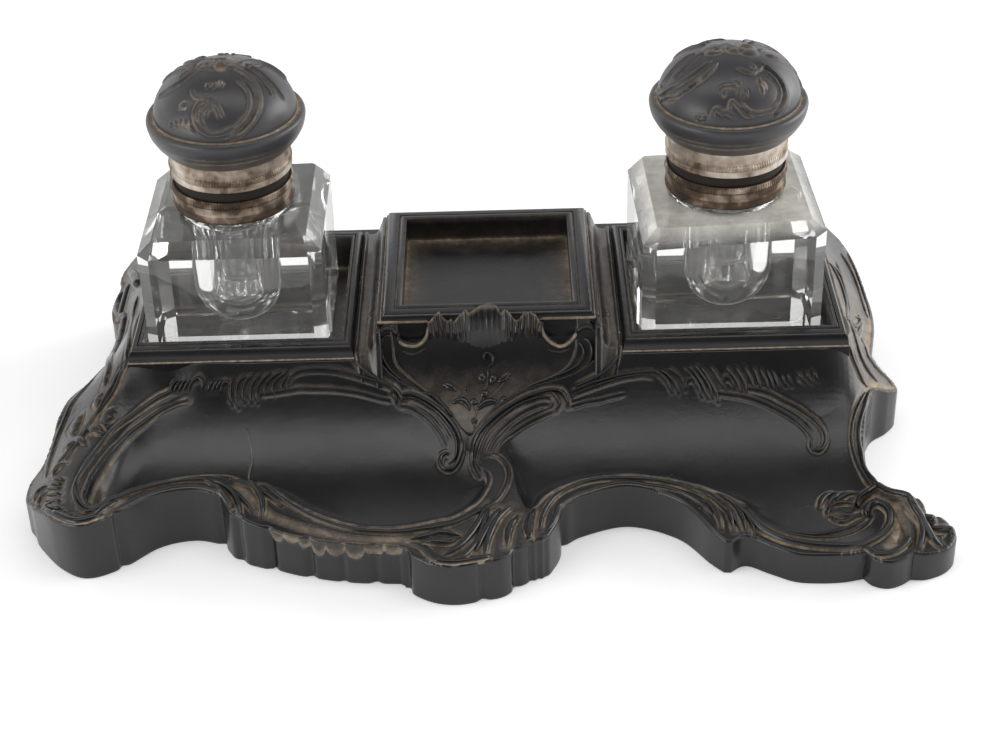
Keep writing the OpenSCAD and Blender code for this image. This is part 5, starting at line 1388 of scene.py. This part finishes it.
def add_scroll(p, turn, scroll, up, down, dust):
    """Adds one curve of a lid's ornament to its relief: r raised, g groove, or l leaf."""
    kind, width, height, curve = scroll
    path = crown_point(turn * smooth(curve, 0.25))
    run = run_length(path)
    low, high = path.min(0) - width, path.max(0) + width
    idx = np.flatnonzero(((p >= low) & (p <= high)).all(1))
    if not len(idx):
        return
    d2 = ((p[idx, None] - path) ** 2).sum(-1)
    k = d2.argmin(1)
    d = np.sqrt(d2[np.arange(len(idx)), k])
    ends = np.clip(np.minimum(run[k], run[-1] - run[k]) / 1.5 + 0.2, 0, 1)
    grow = np.sin(np.pi * np.clip(run[k] / run[-1], 0.08, 0.92)) if kind == "l" else ends ** 0.5
    t = np.clip(d / (width * 0.5 * grow + 1e-6), 0, 1)
    if kind == "g":
        down[idx] = np.maximum(down[idx], height * ends * (1 - t ** 2))
    else:
        up[idx] = np.maximum(up[idx], height * grow * np.sqrt(1 - t ** 2))
    line = np.exp(-((d - width * 0.5 * grow - 0.2) / 0.28) ** 2) * ends
    down[idx] = np.maximum(down[idx], 0.25 * line)
    dust[idx] = np.maximum(dust[idx], (0.75 if kind == "l" else 0.5) * line)


def add_lump(p, turn, lump, up, down, dust):
    """Adds one lump or hollow of a lid's rosette to its relief."""
    x, y, r, height = lump
    d = np.hypot(p[:, 0] - turn * x, p[:, 1] - turn * y) / r
    upper = p[:, 2] > CROWN_Z + 6
    shape = np.exp(-d ** 4 * 0.9) * upper
    if height > 0:
        up[:] = np.maximum(up, height * shape)
        dust[:] = np.maximum(dust, 0.4 * np.exp(-((d - 1.15) / 0.15) ** 2) * upper)
    else:
        down[:] = np.maximum(down, -height * shape)
        dust[:] = np.maximum(dust, shape)


def lid_relief(p, curves, rosette):
    """Height of the lid's relief at points of its crown, and the dust there."""
    up, down, dust = np.zeros((3, len(p)))
    for turn in (1, -1):
        for scroll in curves:
            add_scroll(p, turn, scroll, up, down, dust)
        for lump in rosette:
            add_lump(p, turn, lump, up, down, dust)
    return np.where(down > 0.3, -down, up - down * (up < 0.15)), dust


def crown_ring(circle, q, curves, rosette):
    """Ring of points of the crown at an angle above its foot, with its relief and dust."""
    r, z = CROWN_R * math.cos(q), CROWN_Z + CROWN_H * math.sin(q)
    p = np.column_stack([circle * r, np.full(len(circle), z)])
    normal = (p - (0, 0, CROWN_Z)) / (CROWN_R ** 2, CROWN_R ** 2, CROWN_H ** 2)
    normal /= np.linalg.norm(normal, axis=1)[:, None]
    rise, dust = lid_relief(p, curves, rosette)
    rise *= min(1, q / 0.06)
    return p + normal * rise[:, None], dust


def lid_dome(side, curves):
    """Moulded lid: rolled skirt, groove, and a crown with scrolled relief; hollow inside."""
    (cx, cy), _, _, _ = BOTTLES[side]
    a = np.linspace(0, 2 * math.pi, LID_TURNS, endpoint=False)
    circle = np.column_stack([np.cos(a), np.sin(a)])
    n = len(a)
    rows = [np.column_stack([circle * r, np.full(n, z)]) for r, z, _ in SKIRT]
    tones = [np.full(n, d) for _, _, d in SKIRT]
    for q in np.linspace(0.0, math.pi / 2, CROWN_ROWS)[:-1]:
        ring, dust = crown_ring(circle, q, curves, ROSETTE[side])
        rows.append(ring)
        tones.append(dust)
    verts, faces = loft(rows)
    top = len(verts)
    cap = fan(top, top - n, n, True)
    verts = np.vstack([verts, [[0, 0, verts[top - n:, 2].mean()]]])
    angles = np.radians(np.arange(10, 90, 10))
    roof = [(ROOF_R * math.cos(q), ROOF_Z + ROOF_H * math.sin(q)) for q in angles]
    inside, inside_faces = loft([np.column_stack([circle * r, np.full(n, z)]) for r, z in HOLLOW + roof])
    first = len(verts)
    pole = first + len(inside)
    inside_cap = fan(pole, pole - n, n)
    verts = np.vstack([verts, inside, [[0, 0, ROOF_Z + ROOF_H]]])
    verts += (cx, cy, 0)
    tone = np.concatenate([*tones, [0.2], np.full(len(inside) + 1, 0.1)])
    verts = np.clip(verts, *frame_box(f"{side}_dome"))
    faces = [faces, cap, inside_faces[:, ::-1] + first, inside_cap]
    return make_mesh(f"{side}_lid_dome", verts, faces, dust=tone)


def frame_box(node):
    """Box of a CAD node in millimetres of the drawing."""
    low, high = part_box(node)
    return np.array(low) / MM - SHIFT, np.array(high) / MM - SHIFT




# ---------------------------------------------------------------- materials

class Graph:
    """Short names for the nodes of a material or of the world."""

    def __init__(self, tree):
        self.nodes = tree.nodes
        self.links = tree.links

    def put(self, value, socket):
        """Sets a socket to a plain value, or links an output to it."""
        if isinstance(value, (int, float)):
            socket.default_value = value
        elif isinstance(value, tuple):
            if len(value) == 3 and len(socket.default_value) == 4:
                value = (*value, 1)
            socket.default_value = value
        else:
            self.links.new(value, socket)

    def node(self, kind, values=(), **settings):
        """New node, with its settings and with values or links for its inputs."""
        node = self.nodes.new("ShaderNode" + kind)
        for key, value in settings.items():
            setattr(node, key, value)
        for key, value in dict(values).items():
            self.put(value, node.inputs[key])
        return node

    def math(self, op, *values, clamp=False):
        return self.node("Math", enumerate(values), operation=op, use_clamp=clamp).outputs[0]

    def ramp(self, source, stops):
        node = self.node("ValToRGB", {"Fac": source})
        while len(node.color_ramp.elements) < len(stops):
            node.color_ramp.elements.new(0.5)
        for element, (place, colour) in zip(node.color_ramp.elements, stops):
            element.position = place
            element.color = (colour,) * 3 + (1,) if isinstance(colour, (int, float)) else (*colour, 1)
        return node.outputs["Color"]

    def noise(self, scale, detail=4, rough=0.55, stretch=None):
        coord = self.node("TexCoord").outputs["Object"]
        if stretch is not None:
            coord = self.node("VectorMath", {0: coord, 1: stretch}, operation="MULTIPLY").outputs[0]
        return self.node("TexNoise", {"Scale": scale, "Detail": detail, "Roughness": rough,
                                      "Vector": coord}).outputs["Fac"]

    def mix(self, fac, a, b):
        return self.node("Mix", data_type="RGBA", values={"Factor": fac, 6: a, 7: b}).outputs[2]

    def attribute(self, name):
        return self.node("Attribute", attribute_name=name).outputs["Fac"]

    def bump(self, height, strength, distance, before=None):
        values = {"Strength": strength, "Distance": distance, "Height": height}
        if before is not None:
            values["Normal"] = before
        return self.node("Bump", values).outputs["Normal"]


class Look(Graph):
    """Procedural material, made round one shader."""

    def __init__(self, name):
        self.mat = bpy.data.materials.new(name)
        self.mat.use_nodes = True
        super().__init__(self.mat.node_tree)
        self.shader = self.nodes["Principled BSDF"]

    def finish(self, values):
        """The material, with values or links for its shader's sockets."""
        for key, value in values.items():
            self.put(value, self.shader.inputs[key])
        return self.mat


DUST_DARK = (0.19, 0.142, 0.098)
DUST_LIGHT = (0.48, 0.38, 0.27)


def composition_material(name, dark, light, rough):
    """Black moulded composition: satin, faintly clouded, with brown dust in its hollows."""
    look = Look(name)
    grain = look.noise(1100, 5)
    blotch = look.noise(95, 5, 0.6)
    patchy = look.ramp(grain, [(0.34, 0.55), (0.6, 1.0)])
    settled = look.math("SUBTRACT", look.attribute("dust"), 0.15)
    uneven = look.math("MULTIPLY_ADD", blotch, 0.3, settled)
    crisp = look.ramp(uneven, [(0.05, 0.0), (0.34, 0.22), (0.74, 1.0)])
    amount = look.math("MULTIPLY", patchy, crisp)
    amount = look.math("MULTIPLY", amount, look.math("MULTIPLY_ADD", blotch, 1.0, 0.45), clamp=True)
    body = look.ramp(blotch, [(0.3, dark), (0.75, light)])
    soil = look.ramp(look.noise(420, 4), [(0.3, DUST_DARK), (0.7, DUST_LIGHT)])
    smear = look.ramp(look.noise(38, 5, 0.6, (0.5, 1.0, 1.0)), [(0.32, rough - 0.05), (0.7, rough + 0.09)])
    fine = look.bump(look.noise(2300, 3), 0.10, 0.0002)
    return look.finish({"Base Color": look.mix(amount, body, soil), "IOR": 1.5,
                        "Roughness": look.math("MULTIPLY_ADD", amount, 0.45, smear),
                        "Normal": look.bump(look.noise(210, 4), 0.10, 0.0006, fine)})


# Heights on the metal rings, in metres: low and high edge of each belt
MILLED = [(0.0766, 0.0778), (0.0691, 0.0709)]
SEAM = (0.0714, 0.0742)
COLLAR_FOOT = (0.0640, 0.0668)
MILLING = 130.0  # how closely the milled teeth stand
# Tarnish, from black to bright metal
TARNISH = [(0.24, (0.045, 0.038, 0.034)), (0.36, (0.13, 0.09, 0.062)), (0.47, (0.40, 0.33, 0.265)),
           (0.62, (0.66, 0.61, 0.55))]


def belt(look, z, low, high):
    """1 between two heights and 0 elsewhere, with soft edges."""
    mid, half = (low + high) / 2, (high - low) / 2
    outside = look.math("SUBTRACT", look.math("ABSOLUTE", look.math("SUBTRACT", z, mid)), half)
    return look.math("SUBTRACT", 1.0, look.math("MULTIPLY", outside, 4000.0, clamp=True))


def metal_material(name, side, dark):
    """Tarnished white metal with milled bands, for one bottle's rings."""
    (cx, cy), _, _, _ = BOTTLES[side]
    look = Look(name)
    split = look.node("SeparateXYZ", {0: look.node("TexCoord").outputs["Object"]})
    x = look.math("SUBTRACT", split.outputs[0], (cx + SHIFT[0]) * MM)
    y = look.math("SUBTRACT", split.outputs[1], (cy + SHIFT[1]) * MM)
    z = split.outputs[2]
    wave = look.math("SINE", look.math("MULTIPLY", look.math("ARCTAN2", y, x), MILLING))
    band = look.math("ADD", *(belt(look, z, *edges) for edges in MILLED), clamp=True)
    tarnish = look.noise(260, 4, 0.5)
    lift = look.math("MULTIPLY_ADD", look.noise(75, 3), 0.55, -0.27)
    shade = look.math("ADD", look.math("MULTIPLY_ADD", tarnish, 0.4, 0.30), look.math("ADD", lift, -dark))
    seam = look.math("MULTIPLY", belt(look, z, *SEAM), 0.32)
    seam = look.math("ADD", seam, look.math("MULTIPLY", belt(look, z, *COLLAR_FOOT), 0.06))
    shade = look.math("SUBTRACT", shade, look.math("MULTIPLY_ADD", band, 0.03, seam))
    pits = look.bump(tarnish, 0.25, 0.0003)
    return look.finish({"Base Color": look.ramp(shade, TARNISH), "Metallic": 0.9,
                        "Roughness": look.ramp(shade, [(0.34, 0.72), (0.6, 0.33)]),
                        "Normal": look.bump(look.math("MULTIPLY", wave, band), 0.7, 0.0002, pits)})


def glass_material(name):
    """Clear crystal glass with a faint smear, and a pale film where the haze is."""
    look = Look(name)
    film = look.math("MULTIPLY", look.attribute("haze"), 2.0, clamp=True)
    smear = look.ramp(look.noise(150, 6, 0.65), [(0.3, 0.7), (0.7, 1.35)])
    haze = look.math("MULTIPLY", look.attribute("haze"), smear)
    return look.finish({"Base Color": look.mix(film, (0.985, 0.99, 0.975), (0.85, 0.82, 0.75)), "IOR": 1.52,
                        "Roughness": look.ramp(look.noise(60, 4), [(0.55, 0.0), (0.85, 0.04)]),
                        "Transmission Weight": look.math("SUBTRACT", 1.0, haze, clamp=True)})


def cement_material(name):
    """Dark grainy cement."""
    look = Look(name)
    grain = look.ramp(look.noise(600, 4), [(0.35, (0.02, 0.014, 0.01)), (0.7, (0.09, 0.06, 0.04))])
    return look.finish({"Base Color": grain, "Roughness": 0.8})


def floor_material():
    """Matt white paper."""
    look = Look("floor_white")
    return look.finish({"Base Color": look.ramp(look.noise(3, 2), [(0.3, 0.885), (0.7, 0.9)]),
                        "Roughness": 0.9, "Specular IOR Level": 0.0,
                        "Emission Color": (1, 1, 1, 1), "Emission Strength": FLOOR_GLOW})


# ---------------------------------------------------------------- pieces

def dress(obj, material):
    obj.data.materials.clear()
    obj.data.materials.append(material)


def add_piece(obj, material, body, slot, *nodes):
    dress(obj, material)
    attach(obj, body)
    if nodes:
        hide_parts(*nodes)
    return obj


# Frames, in millimetres: middle and size; then a bar's width at the sides and at the front and back, the
# height of its foot, its rise, and the floor inside the frame
WELL_X = 67.8
WELL_SIZE = (62.2, 66.4)
WELL_BARS = (3.6, 5.7, 30.8, 3.8, 24.0)
CENTRE_Y = 2.45
CENTRE_SIZE = (59.4, 60.5)
CENTRE_BARS = (6.1, 6.1, 38.6, 2.3, 33.3)
CENTRE_FOOT = (0, 0, 28)
# Dark and light colour of the composition, and its roughness
STAND_BLACK = ((0.0095, 0.0091, 0.0099), (0.0150, 0.0145, 0.0157), 0.245)
LID_BLACK = ((0.033, 0.0315, 0.0345), (0.047, 0.0445, 0.0485), 0.37)
# How tarnished each bottle's collar and lid ring are
TARNISHED = {"left": (0.11, 0.065), "right": (0.13, 0.03)}


def build_stand():
    black = composition_material("black_composition", *STAND_BLACK)
    field = base_field()
    beads = Beads()
    carve(field, beads)
    lower_under_apron(field)
    apron_relief(beads)
    add_piece(stand_top(field), black, "stand", "stand", "stand")
    pieces = [beads.mesh("scrollwork"), apron_piece(field), shell_piece()]
    rows, dust = bar_rows(*WELL_BARS)
    for side, name in ((-1, "left"), (1, "right")):
        pieces.append(cove(side, f"{name}_cove"))
        pieces.append(rectangle_piece(f"{name}_well_frame", side * WELL_X, 0, *WELL_SIZE, rows, dust))
    rows, dust = bar_rows(*CENTRE_BARS)
    rows, dust = [CENTRE_FOOT, *rows], [0.2, *dust]
    pieces.append(rectangle_piece("centre_frame", 0, CENTRE_Y, *CENTRE_SIZE, rows, dust))
    for piece in pieces:
        add_piece(piece, black, "stand", "stand")


def build_bottles():
    glass = glass_material("clear_glass")
    cement = cement_material("dark_cement")
    lid = composition_material("lid_composition", *LID_BLACK)
    for side, curves in (("left", DOME_L), ("right", DOME_R)):
        collar_dark, ring_dark = TARNISHED[side]
        collar = metal_material(f"{side}_collar_metal", side, collar_dark)
        ring = metal_material(f"{side}_lid_metal", side, ring_dark)
        add_piece(glass_bottle(side), glass, f"{side}_bottle", "glass", f"{side}_bottle")
        add_piece(lid_dome(side, curves), lid, f"{side}_lid", "dome", f"{side}_dome")
        finishes = {"cement": cement, "collar": collar, "hinge_pin": collar, "lid_ring": ring}
        for part, finish in finishes.items():
            dress(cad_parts[f"{side}_{part}"], finish)


# ---------------------------------------------------------------- camera, light and floor

FLOOR_GLOW = 0.35
FLOOR_HALF = 3.0
FLOOR_Z = -0.0002
SENSOR = 36  # width of the camera's sensor, in millimetres
IMAGE_WIDTH = 1000
# Soft lights, in metres: name, place, target, size, power
LIGHTS = [("top_soft", (0.0, -0.075, 0.9), (0, -0.075, 0.0), (1.4, 0.36), 3.5),
          ("left_soft", (-0.80, -0.55, 0.22), (0, 0, 0.03), (0.6, 0.4), 2.6),
          ("right_soft", (0.85, 0.25, 0.28), (0, 0, 0.02), (0.7, 0.5), 4.6)]


def build_camera():
    yaw, pitch, roll = CAMERA_YAW, CAMERA_PITCH, CAMERA_ROLL
    ahead = Vector((math.sin(yaw) * math.cos(pitch), math.cos(yaw) * math.cos(pitch), -math.sin(pitch)))
    right = Vector((math.cos(yaw), -math.sin(yaw), 0))
    up = right.cross(ahead)
    right2 = math.cos(roll) * right + math.sin(roll) * up
    up2 = -math.sin(roll) * right + math.cos(roll) * up
    data = bpy.data.cameras.new("camera")
    data.sensor_width = SENSOR
    data.lens = CAMERA_FOCAL_PX * SENSOR / IMAGE_WIDTH
    data.clip_start = 0.01
    camera = bpy.data.objects.new("camera", data)
    place = Matrix.Translation(Vector((np.array(CAMERA_AT) + SHIFT) * MM))
    camera.matrix_world = place @ Matrix((right2, up2, -ahead)).transposed().to_4x4()
    bpy.context.scene.collection.objects.link(camera)
    bpy.context.scene.camera = camera


def area_light(name, place, target, size, power):
    data = bpy.data.lights.new(name, "AREA")
    data.shape = "RECTANGLE"
    data.size, data.size_y = size
    data.energy = power
    light = bpy.data.objects.new(name, data)
    light.location = place
    light.rotation_euler = (Vector(target) - Vector(place)).to_track_quat("-Z", "Y").to_euler()
    bpy.context.scene.collection.objects.link(light)


def studio_world():
    """White backdrop behind, dim front, and pale sides."""
    world = bpy.data.worlds.new("studio")
    world.use_nodes = True
    graph = Graph(world.node_tree)
    split = graph.node("SeparateXYZ", {0: graph.node("TexCoord").outputs["Generated"]})

    def step(source, low, high, top):
        values = {"Value": source, "From Min": low, "From Max": high, "To Min": 0.0, "To Max": top}
        return graph.node("MapRange", values, interpolation_type="SMOOTHSTEP").outputs[0]

    back = step(split.outputs[1], 0.30, 0.80, 0.60)
    sides = step(graph.math("ABSOLUTE", split.outputs[0]), 0.40, 0.85, 0.75)
    horizon = step(split.outputs[2], 0.5, 0.05, 0.6)
    total = graph.math("ADD", graph.math("ADD", graph.math("ADD", back, sides), horizon), 0.07)
    graph.put(total, graph.nodes["Background"].inputs["Strength"])
    graph.put((1, 1, 1, 1), graph.nodes["Background"].inputs["Color"])
    bpy.context.scene.world = world


def build_stage():
    mesh = bpy.data.meshes.new("floor")
    corners = [(i * FLOOR_HALF, j * FLOOR_HALF, 0) for i, j in ((-1, -1), (1, -1), (1, 1), (-1, 1))]
    mesh.from_pydata(corners, [], [(0, 1, 2, 3)])
    floor = bpy.data.objects.new("floor", mesh)
    bpy.context.scene.collection.objects.link(floor)
    dress(floor, floor_material())
    floor.location.z = FLOOR_Z
    studio_world()
    for light in LIGHTS:
        area_light(*light)


build_camera()
build_stand()
build_bottles()
build_stage()
view = bpy.context.scene.view_settings
view.view_transform = "Standard"
